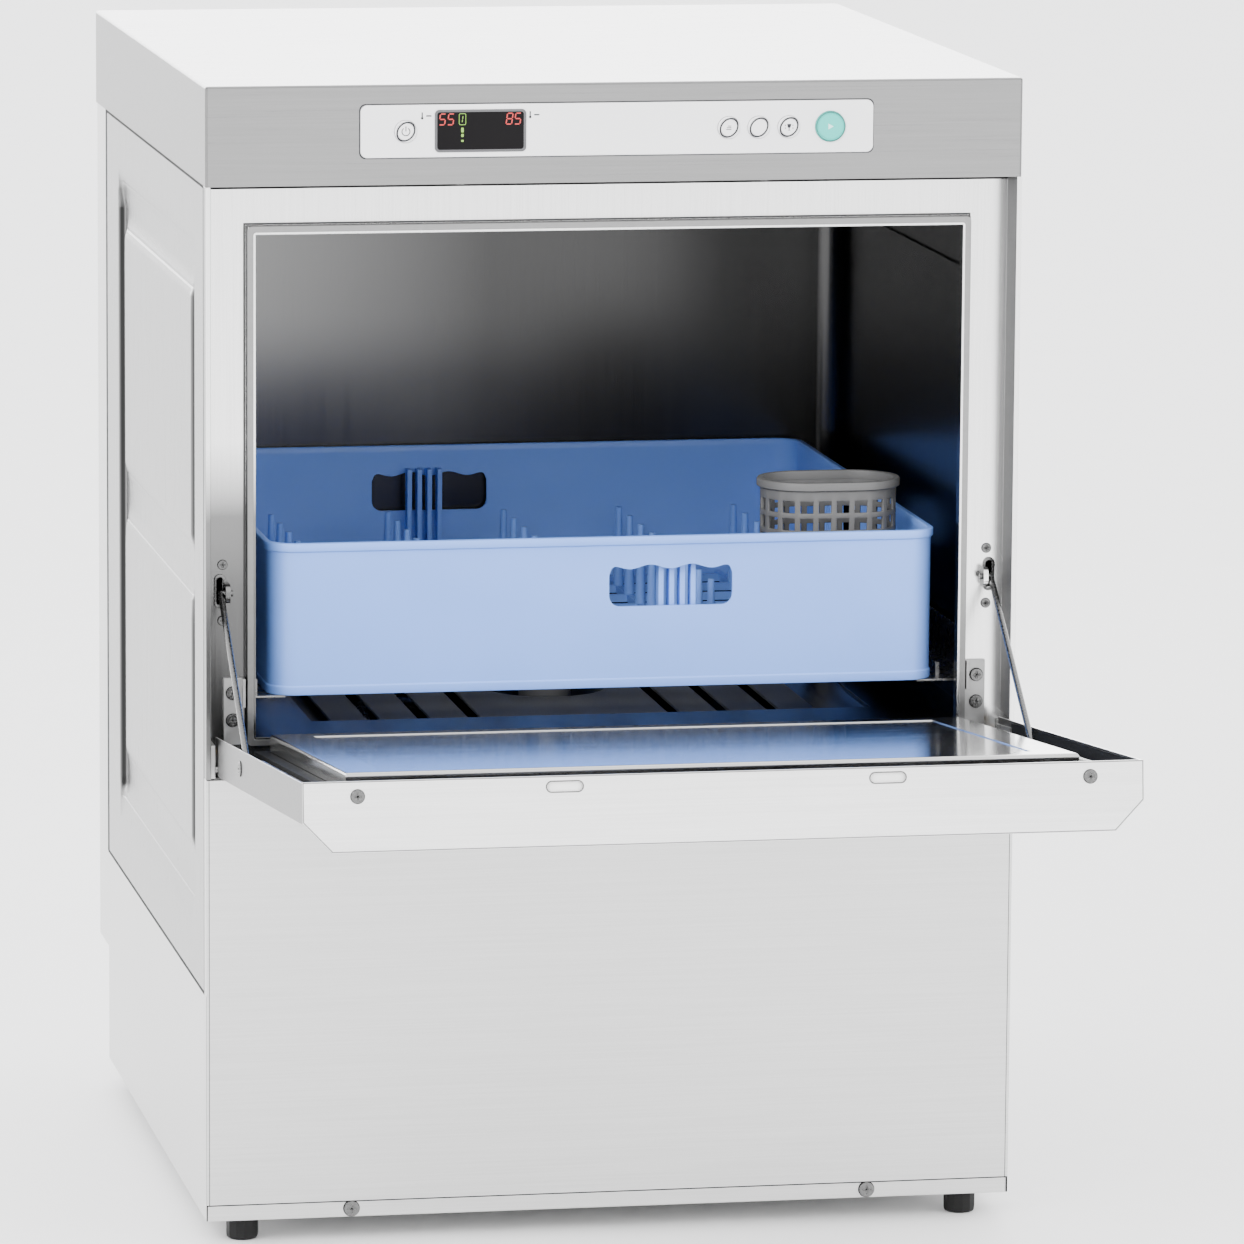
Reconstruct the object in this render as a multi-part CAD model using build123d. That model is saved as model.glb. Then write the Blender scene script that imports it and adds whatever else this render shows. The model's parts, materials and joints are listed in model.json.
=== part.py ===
from build123d import *
import math
import os

os.makedirs("parts", exist_ok=True)

# Commercial front-loading undercounter glass washer with a drop-down door.
# Millimetres. X to the right, +Y to the back, +Z up. The origin is on the
# floor under the centre of the machine. Depths D are measured back from the
# front plane of the top cover, so y = D - DEPTH / 2.

# ---------------------------------------------------------------- dimensions
WIDTH = 600.0
DEPTH = 636.0
HEIGHT = 850.0
HALF = WIDTH / 2
SHEET = 1.2

HEADER_H = 72.3
HEADER_Z = HEIGHT - HEADER_H
PLINTH_Z = 19.0
PANEL_Z = 31.0
PANEL_TOP = 346.5
SIDE_Z = 187.0
SIDE_D0 = 12.0
SIDE_D1 = 571.0
REAR_Z = 108.0

FASCIA_W = 376.0
FASCIA_H = 38.0
FASCIA_T = 2.5
FASCIA_Z = 816.5
DISPLAY_X = -101.0
DISPLAY_W = 66.0
DISPLAY_H = 30.0
BUTTONS = {
    "power_button": (-155.5, 8.0),
    "cycle_button_1": (81.0, 8.0),
    "cycle_button_2": (103.1, 8.0),
    "cycle_button_3": (125.3, 8.0),
    "start_button": (156.1, 11.0),
}
BUTTON_TRAVEL = 1.5

OPEN_X = 261.0
OPEN_Z0 = 374.0
OPEN_Z1 = 741.0
LIP_W = 6.0
LIP_D = 19.0
JAMB_D = 29.0
JAMB_X = 296.5

CHAMBER_X = 283.0
CHAMBER_D1 = 540.0
CHAMBER_Z0 = 372.0
CHAMBER_Z1 = 757.0
ARM_D = 286.0

HINGE_D = 5.0
HINGE_Z = 354.0
DOOR_TILT = 5.8
DOOR_X = 291.7
DOOR_L = 422.0
DOOR_N0 = -5.0
DOOR_N1 = 23.0
HANDLE_N0 = -25.0
PAN_X = 256.0
PAN_L0 = 24.0
PAN_L1 = 383.0
PAN_N = 26.0
PIN_R = 3.0
PIN_CLEAR = 0.05

STAY_X = 286.0
STAY_R = 2.25
STAY_D = 22.0
STAY_Z = 480.0
STAY_END_L = 123.0
STAY_END_N = 10.0
SPRING_R = 6.0
SPRING_X = 278.0
SPRING_L1 = 404.0

RACK = 500.0
RACK_H = 112.0
RACK_Z = 401.0
RACK_D = 36.0
RACK_WALL = 3.0
RACK_R = 20.0
HOLE_X = 49.0
HOLE_W = 92.0
HOLE_Z = 60.0
HOLE_H = 29.0
PITCH = 46.0
PEG_H = 62.0
FIN_X = (43.0, 51.0, 59.0, 67.0)
FIN_H = 88.0
CUP_X = 181.0
CUP_D = 70.0
CUP_W = 108.0
CUP_DEEP = 72.0
CUP_H = 136.0

STUB_D0 = 572.0
STUB_D1 = 612.0
PORTS = ((-185.0, 88.0, 11.2), (-60.0, 66.0, 14.0), (205.0, 60.0, 9.2))

CATCH_X = 112.0
CATCH_D = 21.0
CATCH_R = 3.5


# ------------------------------------------------------------------- helpers
def depth(d):
    """Y of a depth measured back from the front plane."""
    return d - DEPTH / 2


def box(x0, x1, d0, d1, z0, z1):
    """Block between two depths in the cabinet's frame."""
    centre = ((x0 + x1) / 2, depth((d0 + d1) / 2), (z0 + z1) / 2)
    return Pos(*centre) * Box(abs(x1 - x0), abs(d1 - d0), abs(z1 - z0))


def rod_x(x0, x1, d, z, r):
    """Cylinder along X."""
    return Pos((x0 + x1) / 2, depth(d), z) * Rot(0, 90, 0) * Cylinder(r, abs(x1 - x0))


def rod_y(x, d0, d1, z, r):
    """Cylinder along Y."""
    return Pos(x, depth((d0 + d1) / 2), z) * Rot(90, 0, 0) * Cylinder(r, abs(d1 - d0))


def rod_z(x, d, z0, z1, r):
    """Cylinder along Z."""
    return Pos(x, depth(d), (z0 + z1) / 2) * Cylinder(r, abs(z1 - z0))


def in_door(shape):
    """Places a shape built about the hinge axis (length along -Y, inner side +Z)."""
    return Pos(0, depth(HINGE_D), HINGE_Z) * Rot(-DOOR_TILT, 0, 0) * shape


def door_box(x0, x1, l0, l1, n0, n1):
    """Block in the door's own frame, before the door is laid open."""
    centre = ((x0 + x1) / 2, -(l0 + l1) / 2, (n0 + n1) / 2)
    return Pos(*centre) * Box(abs(x1 - x0), abs(l1 - l0), abs(n1 - n0))


def mirrored(shape):
    """The shape and its mirror image across the middle of the machine."""
    return [shape, mirror(shape, about=Plane.YZ)]


def hose(points, r, bore=0.0):
    """Round tube along straight runs joined by tangent arcs."""
    runs = []
    count = len(points)
    pts = [Vector(x, depth(d), z) for x, d, z in points]
    start = pts[0]
    for i in range(1, count - 1):
        back = (pts[i - 1] - pts[i])
        ahead = (pts[i + 1] - pts[i])
        turn = math.radians(180 - back.get_angle(ahead))
        reach = 0.45 * min(back.length, ahead.length)
        u = back.normalized()
        v = ahead.normalized()
        a = pts[i] + u * reach
        b = pts[i] + v * reach
        radius = reach / math.tan(turn / 2)
        middle = (u + v).normalized()
        mid = pts[i] + middle * (radius / math.cos(turn / 2) - radius)
        runs.append(Line(start, a))
        runs.append(ThreePointArc(a, mid, b))
        start = b
    runs.append(Line(start, pts[-1]))
    path = Wire(runs)
    plane = Plane(origin=pts[0], z_dir=(pts[1] - pts[0]).normalized())
    tube = sweep(plane * Circle(r), path)
    if bore:
        tube = tube - sweep(plane * Circle(bore), path)
    return tube


def screw(d, r, x, z, head=1.6):
    """Pan-head screw facing the front, its cross recess cut in the head."""
    top = rod_y(x, d - head, d, z, r)
    recess = box(x - r * 0.6, x + r * 0.6, d - head, d - head * 0.45, z - 0.5, z + 0.5)
    cross = box(x - 0.5, x + 0.5, d - head, d - head * 0.45, z - r * 0.6, z + r * 0.6)
    return top - recess - cross


def save(name, shape):
    """Writes one node; a list becomes a group of solids."""
    if isinstance(shape, (list, tuple)):
        solids = []
        for item in shape:
            solids += item.solids()
        shape = Compound(children=solids) if len(solids) > 1 else solids[0]
    export_step(shape, f"parts/{name}.step")


# ------------------------------------------------------------------- cabinet
def top_cover():
    outer = box(-HALF, HALF, 0, DEPTH, HEADER_Z, HEIGHT)
    outer = fillet(outer.edges().filter_by(Axis.Z), 2.5)
    outer = fillet(outer.faces().sort_by(Axis.Z)[-1].edges(), 2.0)
    inner = box(-HALF + SHEET, HALF - SHEET, SHEET, DEPTH - SHEET, HEADER_Z - 1, HEIGHT - SHEET)
    window = box(-170, 172, -1, SHEET + 1, FASCIA_Z - 13, FASCIA_Z + 13)
    display = box(DISPLAY_X - 29, DISPLAY_X + 29, -1, SHEET + 1, FASCIA_Z - 13, FASCIA_Z + 13)
    return outer - inner - window - display


def fascia():
    plate = Pos(0, depth(-FASCIA_T / 2), FASCIA_Z) * Rot(90, 0, 0) * extrude(
        RectangleRounded(FASCIA_W, FASCIA_H, 5), FASCIA_T / 2, both=True)
    plate = fillet(plate.faces().sort_by(Axis.Y)[0].edges(), 0.8)
    cut = Pos(DISPLAY_X, depth(-FASCIA_T / 2), FASCIA_Z) * Rot(90, 0, 0) * extrude(
        RectangleRounded(DISPLAY_W + 0.4, DISPLAY_H + 0.4, 3.2), FASCIA_T, both=True)
    plate = plate - cut
    for x, r in BUTTONS.values():
        plate = plate - rod_y(x, -FASCIA_T - 1, 1, FASCIA_Z, r + 0.3)
    return plate


def display_window():
    pane = Pos(DISPLAY_X, depth(-1.6), FASCIA_Z) * Rot(90, 0, 0) * extrude(
        RectangleRounded(DISPLAY_W, DISPLAY_H, 3.0), 1.2, both=True)
    return pane


def button(x, r):
    cap = rod_y(x, -FASCIA_T - 1.4, 0.3, FASCIA_Z, r)
    cap = fillet(cap.faces().sort_by(Axis.Y)[0].edges(), 0.7)
    ring = rod_y(x, -FASCIA_T - 1.5, -FASCIA_T - 1.1, FASCIA_Z, r - 1.2)
    ring = ring - rod_y(x, -FASCIA_T - 2, -FASCIA_T, FASCIA_Z, r - 1.9)
    return cap - ring + rod_y(x, 0.3, 1.5, FASCIA_Z, r + 1.2)


def control_board():
    board = box(-168, 170, 6.0, 7.6, FASCIA_Z - 14, FASCIA_Z + 14)
    parts = [box(DISPLAY_X - 28, DISPLAY_X + 28, -0.3, 6.0, FASCIA_Z - 12, FASCIA_Z + 12)]
    for x, r in BUTTONS.values():
        parts.append(box(x - 3.5, x + 3.5, 3.5, 6.0, FASCIA_Z - 3.5, FASCIA_Z + 3.5))
    for x in (-40, -10, 20, 50):
        parts.append(box(x - 9, x + 9, 7.6, 23, FASCIA_Z - 11, FASCIA_Z + 11))
    for part in parts:
        board = board + part
    return board


def side_panel():
    """Left side panel: a folded tray with a stiffened, embossed field."""
    skin = box(-HALF, -HALF + 1.0, SIDE_D0, SIDE_D1, SIDE_Z, HEADER_Z - 0.3)
    rim = box(-HALF, -HALF + 2.4, SIDE_D0, SIDE_D1, SIDE_Z, HEADER_Z - 0.3)
    rim = rim - box(-HALF - 1, -HALF + 3, SIDE_D0 + 1, SIDE_D1 - 1, SIDE_Z + 1, HEADER_Z - 1.3)
    panel = skin + rim
    fields = [(92, 470, 506, 694), (76, 470, 286, 468), (56, 474, 196, 248)]
    for d0, d1, z0, z1 in fields:
        panel = panel - box(-HALF - 1, -HALF + 2, d0 + 1, d1 - 1, z0 + 1, z1 - 1)
        step = box(-HALF + 0.1, -HALF + 2.2, d0, d1, z0, z1)
        panel = panel + (step - box(-HALF - 1, -HALF + 1.2, d0 + 1, d1 - 1, z0 + 1, z1 - 1))
    rib = box(-HALF - 0.0, -HALF + 3.0, 478, 496, 246, 730)
    panel = panel - rib + (rib - box(-HALF - 1, -HALF + 2.0, 479, 495, 247, 729))
    return panel


def base_body():
    """Base tray with its side skins, plinth strip and rear wall."""
    top = SIDE_Z - 1.0
    outer = box(-HALF, HALF, 1.5, 570, PLINTH_Z, top)
    inner = box(-HALF + SHEET, HALF - SHEET, 1.5 + SHEET, 570 - SHEET, PLINTH_Z + SHEET, top + 1)
    body = outer - inner
    body = body - box(-HALF + 14, HALF - 14, 0, 4, PANEL_Z, top + 1)
    body = body - box(-HALF - 1, HALF + 1, 0, SIDE_D0, PANEL_Z - 0.5, top + 1)
    for x, z, r in PORTS:
        body = body - rod_y(x, 560, 580, z, r)
    for x in (-270, 270):
        for d in (28, 545):
            body = body - rod_z(x, d, PLINTH_Z - 1, PLINTH_Z + 4, 5.2)
    return body


def lower_panel():
    face = box(-HALF, HALF, 0, SHEET, PANEL_Z, PANEL_TOP)
    for side in (-1, 1):
        face = face + box(side * HALF, side * (HALF - SHEET), 0, SIDE_D0 - 0.4, PANEL_Z, PANEL_TOP)
    return face + box(-HALF, HALF, 0, SIDE_D0 - 0.4, PANEL_TOP - SHEET, PANEL_TOP)


def back_panel():
    sheet = box(-HALF + 2, HALF - 2, SIDE_D1 + 0.4, SIDE_D1 + 1.4, REAR_Z, HEADER_Z - 1)
    for x in (-150, 0, 150):
        for z in (600, 620, 640):
            sheet = sheet - box(x - 30, x + 30, SIDE_D1 - 1, SIDE_D1 + 3, z, z + 6)
    return sheet


def rear_cover():
    d0 = SIDE_D1 + 2.0
    outer = box(-HALF + 1, HALF - 1, d0, DEPTH - 2, REAR_Z, HEADER_Z - 0.4)
    inner = box(-HALF + 2, HALF - 2, d0 - 1, DEPTH - 3, REAR_Z + 1, HEADER_Z - 1.4)
    cover = outer - inner
    for z in range(160, 260, 20):
        cover = cover - box(-90, 90, DEPTH - 5, DEPTH, z, z + 7)
    return cover


def front_frame():
    """Jambs, top rail, sill and the double-folded lip round the opening."""
    frame = box(-JAMB_X, JAMB_X, JAMB_D, JAMB_D + SHEET, PANEL_TOP + 0.5, HEADER_Z)
    lip_x = OPEN_X + LIP_W
    lip = box(-lip_x, lip_x, LIP_D, JAMB_D + SHEET, OPEN_Z0 - LIP_W, OPEN_Z1 + LIP_W)
    lip = fillet(lip.faces().sort_by(Axis.Y)[0].edges(), 2.0)
    frame = frame + lip
    frame = frame - box(-OPEN_X, OPEN_X, 0, 60, OPEN_Z0, OPEN_Z1)
    for side in (-1, 1):
        flange = box(side * JAMB_X, side * HALF, 0, JAMB_D + SHEET, PANEL_TOP + 0.5, HEADER_Z)
        relief = box(side * (JAMB_X + 1), side * (HALF + 1), SIDE_D0 - 0.3, 40, 0, HEADER_Z + 1)
        frame = frame + (flange - relief)
        frame = frame - box(side * 283.4, side * 288.4, 20, 40, STAY_Z - 9, STAY_Z + 11)
    for x in (-CATCH_X, CATCH_X):
        frame = frame + (box(x - 14, x + 14, 12, JAMB_D, HEADER_Z - 1.0, HEADER_Z))
        frame = frame - rod_z(x, CATCH_D, HEADER_Z - 3, HEADER_Z + 2, CATCH_R + 0.2)
    for lug in stay_lugs():
        frame = frame + lug
    return frame


def catch_housings():
    """Spring housings of the two ball catches, above the top rail."""
    solids = []
    for x in (-CATCH_X, CATCH_X):
        tube = rod_z(x, CATCH_D, HEADER_Z, HEADER_Z + 22, 6.5)
        solids.append(tube - rod_z(x, CATCH_D, HEADER_Z - 1, HEADER_Z + 20, CATCH_R + 0.2))
    return solids


def catch_ball(x):
    ball = Pos(x, depth(CATCH_D), 778.2) * Sphere(CATCH_R)
    return ball + rod_z(x, CATCH_D, 779, 788, 2.4)


def wash_chamber():
    """Wash chamber: a deep-drawn box, open at the front, with a sump opening."""
    t = 1.0
    outer = box(-CHAMBER_X - t, CHAMBER_X + t, JAMB_D + SHEET, CHAMBER_D1 + t,
                CHAMBER_Z0 - t, CHAMBER_Z1 + t)
    inner = box(-CHAMBER_X, CHAMBER_X, JAMB_D, CHAMBER_D1, CHAMBER_Z0, CHAMBER_Z1)
    inner = fillet(inner.edges().filter_by(Axis.Z), 18)
    chamber = outer - inner
    chamber = chamber - box(-212, 212, 92, 478, CHAMBER_Z0 - 3, CHAMBER_Z0 + 3)
    for side in (-1, 1):
        x0 = side * (CHAMBER_X + 0.5)
        boss = box(x0, side * (CHAMBER_X - 2.5), 96, 440, 440, 700)
        boss = fillet(boss.edges().filter_by(Axis.X), 8)
        chamber = chamber + boss
    return chamber - rod_z(0, ARM_D, CHAMBER_Z1 - 2, CHAMBER_Z1 + 4, 16)


def rack_rail():
    """Right rail that the rack slides on, an angle hung on the chamber wall."""
    shelf = box(236, 280, 42, 520, RACK_Z - 1.9, RACK_Z - 0.4)
    upright = box(278.5, 280, 42, 520, RACK_Z - 1.9, RACK_Z + 30)
    guide = box(254, 257, 60, 520, RACK_Z - 0.4, RACK_Z + 9)
    rail = shelf + upright + guide
    for d in (90, 440):
        rail = rail + rod_x(279, CHAMBER_X, d, RACK_Z + 18, 5)
    return rail


# ------------------------------------------------------ tank and wash system
def sump():
    """Tank floor: a shallow funnel with a round well."""
    wall = 1.2
    rim = box(-224, 224, 82, 488, CHAMBER_Z0 - 3.2, CHAMBER_Z0 - 1.0)
    tops = Pos(0, depth(285), CHAMBER_Z0 - 2.4) * Rectangle(422, 384)
    low = Pos(0, depth(285), 292) * Rectangle(220, 200)
    funnel = loft([tops.face(), low.face()])
    tops_in = Pos(0, depth(285), CHAMBER_Z0 + 1) * Rectangle(422, 384)
    low_in = Pos(0, depth(285), 293.5) * Rectangle(217, 197)
    inside = loft([tops_in.face(), low_in.face()])
    well = rod_z(0, 285, 238, 293, 62)
    hollow = rod_z(0, 285, 238 + wall, 300, 62 - wall)
    tank = rim + funnel + well - inside - hollow
    tank = tank - rod_y(0, 200, 260, 266, 17)
    tank = tank - box(-155, -55, 100, 160, 323, 345)
    return tank - rod_x(30, 90, 285, 258, 11)


def sump_filter():
    """Lift-out strainer tray with its fine cylinder filter."""
    tray = box(-184, 184, 118, 452, 358, 360)
    tray = tray - rod_z(0, ARM_D, 350, 370, 47)
    for i in range(-4, 5):
        if abs(i) > 1:
            tray = tray - box(i * 38 - 5, i * 38 + 5, 130, 440, 350, 370)
    return tray + (rod_z(0, ARM_D, 252, 360, 49) - rod_z(0, ARM_D, 254, 361, 46.5))


def hub_lower():
    """Fixed spindle that feeds the lower wash and rinse arms."""
    post = rod_z(0, ARM_D, 338, 372, 20) + rod_z(0, ARM_D, 372, 397, 9)
    post = post + rod_x(-46.3, 46.3, ARM_D, 344, 4)
    return post - rod_z(0, ARM_D, 330, 392, 6)


def hub_upper():
    """Fixed spindle hanging from the ceiling for the upper arms."""
    post = rod_z(0, ARM_D, 752, CHAMBER_Z1 + 58, 15.5) + rod_z(0, ARM_D, 720, 752, 9)
    post = post + rod_z(0, ARM_D, 753, CHAMBER_Z1, 24)
    return post - rod_z(0, ARM_D, 726, CHAMBER_Z1 + 9, 6)


def spray_arm(z0, z1, reach, width, bore, jets, up):
    """Rotating arm: a flat hollow beam with a hub and a row of jets."""
    zc = (z0 + z1) / 2
    beam = Pos(0, depth(ARM_D), zc) * extrude(
        SlotOverall(2 * reach, width), (z1 - z0) / 2, both=True)
    hub = rod_z(0, ARM_D, z0 - 1.0, z1 + 1.0, bore + 9)
    inside = Pos(0, depth(ARM_D), zc) * extrude(
        SlotOverall(2 * reach - 6, width - 6), (z1 - z0) / 2 - 1.5, both=True)
    arm = beam - inside + hub
    for i in range(jets):
        x = 40 + i * (reach - 60) / (jets - 1)
        for sx in (-x, x):
            zj = z1 if up else z0
            arm = arm - rod_z(sx, ARM_D, zj - 2.5, zj + 2.5, 2.6)
    return arm - rod_z(0, ARM_D, z0 - 3, z1 + 3, bore)


def wash_pump():
    """Volute of the circulation pump, its eye facing the front."""
    case = rod_y(70, 205, 255, 150, 62)
    case = case - rod_y(70, 210, 250, 150, 56)
    case = case + (rod_y(70, 188, 205.5, 150, 20) - rod_y(70, 187, 212, 150, 16))
    case = case - rod_y(70, 186, 212, 150, 16)
    outlet = rod_z(112, 230, 160, 232, 18) - rod_z(112, 230, 150, 233, 14)
    case = case - rod_z(112, 230, 165, 232, 14) + (outlet - rod_y(70, 210, 250, 150, 56))
    return case - rod_y(70, 248, 260, 150, 9)


def pump_motor():
    motor = rod_y(70, 262, 420, 150, 56)
    for k in range(12):
        fin = Pos(70, depth(340), 150) * Rot(0, k * 30, 0) * Pos(0, 0, 57) * Box(4, 130, 8)
        motor = motor + fin
    motor = motor + rod_y(70, 255, 262, 150, 36) + box(40, 100, 290, 390, 86, 100)
    return motor - rod_y(70, 250, 275, 150, 8.6)


def pump_impeller():
    rotor = rod_y(70, 218, 222, 150, 46) + rod_y(70, 216, 272, 150, 8)
    rotor = rotor - rod_y(70, 214, 219, 150, 3)
    for k in range(6):
        vane = Pos(70, depth(230), 150) * Rot(0, k * 60, 0) * Pos(24, 0, 6) * Rot(0, 25, 0)
        rotor = rotor + vane * Box(38, 16, 3)
    return rotor


def wash_manifold():
    """Feed from the pump to both wash arms, with the riser behind the tank."""
    suction = hose([(0, 207, 266), (0, 160, 262), (20, 120, 215), (58, 128, 158),
                    (70, 160, 150), (70, 187.5, 150)], 15.5, 12.5)
    joint = rod_y(0, 206.5, 224, 266, 16.5) - rod_y(0, 205, 226, 266, 12.5)
    riser = hose([(112, 230, 232.5), (112, 232, 262), (170, 300, 285), (225, 420, 290),
                  (232, 500, 292), (230, 548, 310), (228, 556, 350), (222, 556, 400),
                  (215, 556, 450)], 13, 10.5)
    upright = hose([(215, 556, 450.2), (215, 556, 560), (175, 556, 660), (130, 556, 745),
                    (95, 550, 790), (50, 490, 802), (12, 410, 786), (0, 360, 779),
                    (0, 302, 779)], 12.5, 10)
    return [suction, joint, riser, upright]


def tank_heater():
    """Hairpin heating element in the wash tank, with its flange."""
    loop = hose([(-140, 152, 334), (-140, 270, 334), (-130, 370, 334), (-105, 400, 334),
                 (-80, 370, 334), (-70, 270, 334), (-70, 152, 334)], 4.2)
    return loop + box(-154.5, -55.5, 118, 152.5, 323.5, 344.5)


def rinse_boiler():
    tank = rod_y(-185, 150, 470, 128, 82)
    tank = fillet(tank.edges().filter_by(GeomType.CIRCLE), 14)
    tank = tank - rod_y(-185, 170, 452, 128, 78)
    for d in (180, 440):
        tank = tank + (box(-240, -130, d, d + 20, PLINTH_Z + 1.4, 62) - rod_y(-185, 150, 470, 128, 81))
    tank = tank - rod_y(-185, 140, 175, 128, 34)
    tank = tank + (rod_y(-185, 143, 171, 128, 38) - rod_y(-185, 140, 175, 128, 34.2))
    outlet = rod_z(-185, 400, 200, 220, 9) - rod_y(-185, 150, 470, 128, 80)
    return tank + outlet + rod_y(-185, 466, 482, 88, 9)


def boiler_heater():
    plug = rod_y(-185, 136, 160, 128, 33.9) + rod_y(-185, 130, 136, 128, 40)
    for x in (-200, -170):
        plug = plug + rod_y(x, 112, 131, 128, 4) + rod_y(x, 159, 430, 128, 4.2)
    return plug


def rinse_hoses():
    """Hot rinse line from the boiler up to the upper spindle."""
    line = hose([(-185, 400, 220.4), (-185, 402, 256), (-205, 450, 290), (-225, 520, 300),
                 (-226, 550, 325), (-224, 556, 380), (-215, 556, 460), (-215, 556, 580),
                 (-165, 556, 670), (-120, 556, 745), (-85, 550, 790), (-50, 500, 806),
                 (-20, 420, 808), (0, 360, 803), (0, 302, 803)], 6.5, 4.5)
    return line


def rinse_feed():
    """Cold feed from the inlet valve to the boiler."""
    return rod_y(-185, 482.4, 541.2, 88, 6) - rod_y(-185, 480, 545, 88, 4)


def inlet_valve():
    body = box(-207, -163, 541.5, 568, 70, 106) + rod_y(-185, 566, 600, 88, 10.8)
    thread = rod_y(-185, 600, 612, 88, 9)
    coil = rod_z(-185, 555, 106, 138, 13)
    return body + thread + coil


def drain_pump():
    pump = rod_z(205, 440, PLINTH_Z + 1.4, 86, 44)
    pump = pump + rod_z(205, 440, 86, 140, 32) + rod_y(205, 376, 400, 60, 11)
    return pump + rod_y(205, 480, 502, 60, 11)


def drain_hoses():
    inlet = hose([(62.3, 285, 258), (120, 285, 250), (172, 285, 215), (200, 292, 160),
                  (205, 310, 100), (205, 334, 60), (205, 375.5, 60)], 8.5, 6.5)
    outlet = rod_y(205, 502.5, STUB_D0, 60, 8) + rod_y(205, STUB_D0, STUB_D1, 60, 9)
    outlet = outlet - rod_y(205, 500, 615, 60, 6.5)
    return [inlet, outlet]


def cable_gland():
    gland = rod_y(-60, 560, 592, 66, 13.8) + rod_y(-60, 570.4, 576, 66, 19)
    gland = gland + rod_y(-60, 553, 560, 66, 18)
    return gland - rod_y(-60, 550, 600, 66, 6)


def dosing_pump(z):
    """Peristaltic dosing pump with its roller head."""
    body = box(190, 246, 60, 120, z - 28, z + 28)
    head = rod_y(218, 44, 60, z, 26)
    spigots = rod_z(206, 52, z - 40, z - 20, 4) + rod_z(230, 52, z - 40, z - 20, 4)
    return body + head + spigots


def pressure_switch():
    body = rod_x(256, 282, 330, 250, 26) + box(262, 276, 318, 342, 222, 236)
    return body + rod_x(246, 256, 330, 250, 4)


def terminal_block():
    block = box(-286, -262, 500, 560, 200, 300)
    for z in range(212, 296, 16):
        block = block - rod_x(-263.5, -260, 530, z, 3.4)
    return block


def feet():
    solids = []
    for x in (-270, 270):
        for d in (28, 545):
            pad = rod_z(x, d, 0, 14, 12.5)
            pad = fillet(pad.edges().sort_by(Axis.Z)[0], 1.5)
            solids.append(pad + rod_z(x, d, 14, PLINTH_Z, 10) + rod_z(x, d, PLINTH_Z, 44, 5))
    return solids


def cabinet_screws():
    solids = []
    for side in (-1, 1):
        for z in (STAY_Z + 20, STAY_Z - 21):
            solids.append(screw(JAMB_D, 3.4, side * 284, z))
        for z in (386, 406):
            solids.append(screw(26.0, 4.6, side * 277, z, 2.2))
        solids.append(screw(1.5, 5.6, side * 193, 25.2, 2.2))
    return solids


# ---------------------------------------------------------------------- door
def door_outer():
    """Door skin with its side walls and the top lip that is the handle."""
    skin = door_box(-DOOR_X, DOOR_X, -4, DOOR_L, DOOR_N0, DOOR_N0 + 1)
    for side in (-1, 1):
        wall = door_box(side * (DOOR_X - 1), side * DOOR_X, -4, DOOR_L, DOOR_N0, DOOR_N1)
        wall = wall - Pos(side * DOOR_X, 0, 0) * Rot(0, 90, 0) * Cylinder(PIN_R, 8)
        slot = door_box(side * (DOOR_X - 3), side * (DOOR_X + 3), 121, 127, 7.5, 13.5)
        skin = skin + wall - slot
    lip = Pos(0, -DOOR_L + 1, 0) * Rot(90, 0, 0) * extrude(make_face(Polyline(
        (-DOOR_X, 23.5), (DOOR_X, 23.5), (DOOR_X, DOOR_N0 + 1), (DOOR_X - 20, HANDLE_N0),
        (-DOOR_X + 20, HANDLE_N0), (-DOOR_X, DOOR_N0 + 1), close=True)), 1.2)
    hem = door_box(-DOOR_X + 20, DOOR_X - 20, DOOR_L - 8, DOOR_L, HANDLE_N0, HANDLE_N0 + 1.2)
    door = skin + lip + hem
    for x in (-CATCH_X, CATCH_X):
        door = door - door_box(x - 12, x + 12, DOOR_L - 2, DOOR_L + 4, 13.0, 19.0)
    return in_door(door)


def door_inner():
    """Raised inner pan of the door, closed all round by its flange."""
    flange = door_box(-PAN_X - 10, PAN_X + 10, 12, 398, 8, 9)
    pan = door_box(-PAN_X, PAN_X, PAN_L0, PAN_L1, 8, PAN_N)
    pan = fillet(pan.faces().sort_by(Axis.Z)[-1].edges(), 2.5)
    pan = pan - door_box(-PAN_X + 1, PAN_X - 1, PAN_L0 + 1, PAN_L1 - 1, 7, PAN_N - 1)
    field = door_box(-PAN_X + 28, PAN_X - 28, PAN_L0 + 26, PAN_L1 - 26, PAN_N - 0.6, PAN_N + 1)
    inner = flange - door_box(-PAN_X + 1, PAN_X - 1, PAN_L0 + 1, PAN_L1 - 1, 7, 10) + pan - field
    for side in (-1, 1):
        leg = door_box(side * (PAN_X + 9), side * (PAN_X + 10), 12, 398, DOOR_N0 + 1, 9)
        inner = inner + leg
    for l in (12, 397):
        inner = inner + door_box(-PAN_X - 10, PAN_X + 10, l, l + 1, DOOR_N0 + 1, 9)
    return in_door(inner)


def door_gasket():
    ring = door_box(-PAN_X - 10, PAN_X + 10, 14, 394, 9, 13.4)
    ring = ring - door_box(-PAN_X - 0.5, PAN_X + 0.5, PAN_L0 - 0.5, PAN_L1 + 0.5, 8, 15)
    return in_door(ring)


def door_pins():
    """Hinge pins with their plates, riveted inside the door's side walls."""
    solids = []
    for side in (-1, 1):
        plate = door_box(side * (DOOR_X - 3), side * (DOOR_X - 1), -3, 42, DOOR_N0 + 1, 18)
        pin = Pos(side * 292.65, 0, 0) * Rot(0, 90, 0) * Cylinder(PIN_R, 7.3)
        solids.append(in_door(plate + pin))
    return solids


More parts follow.
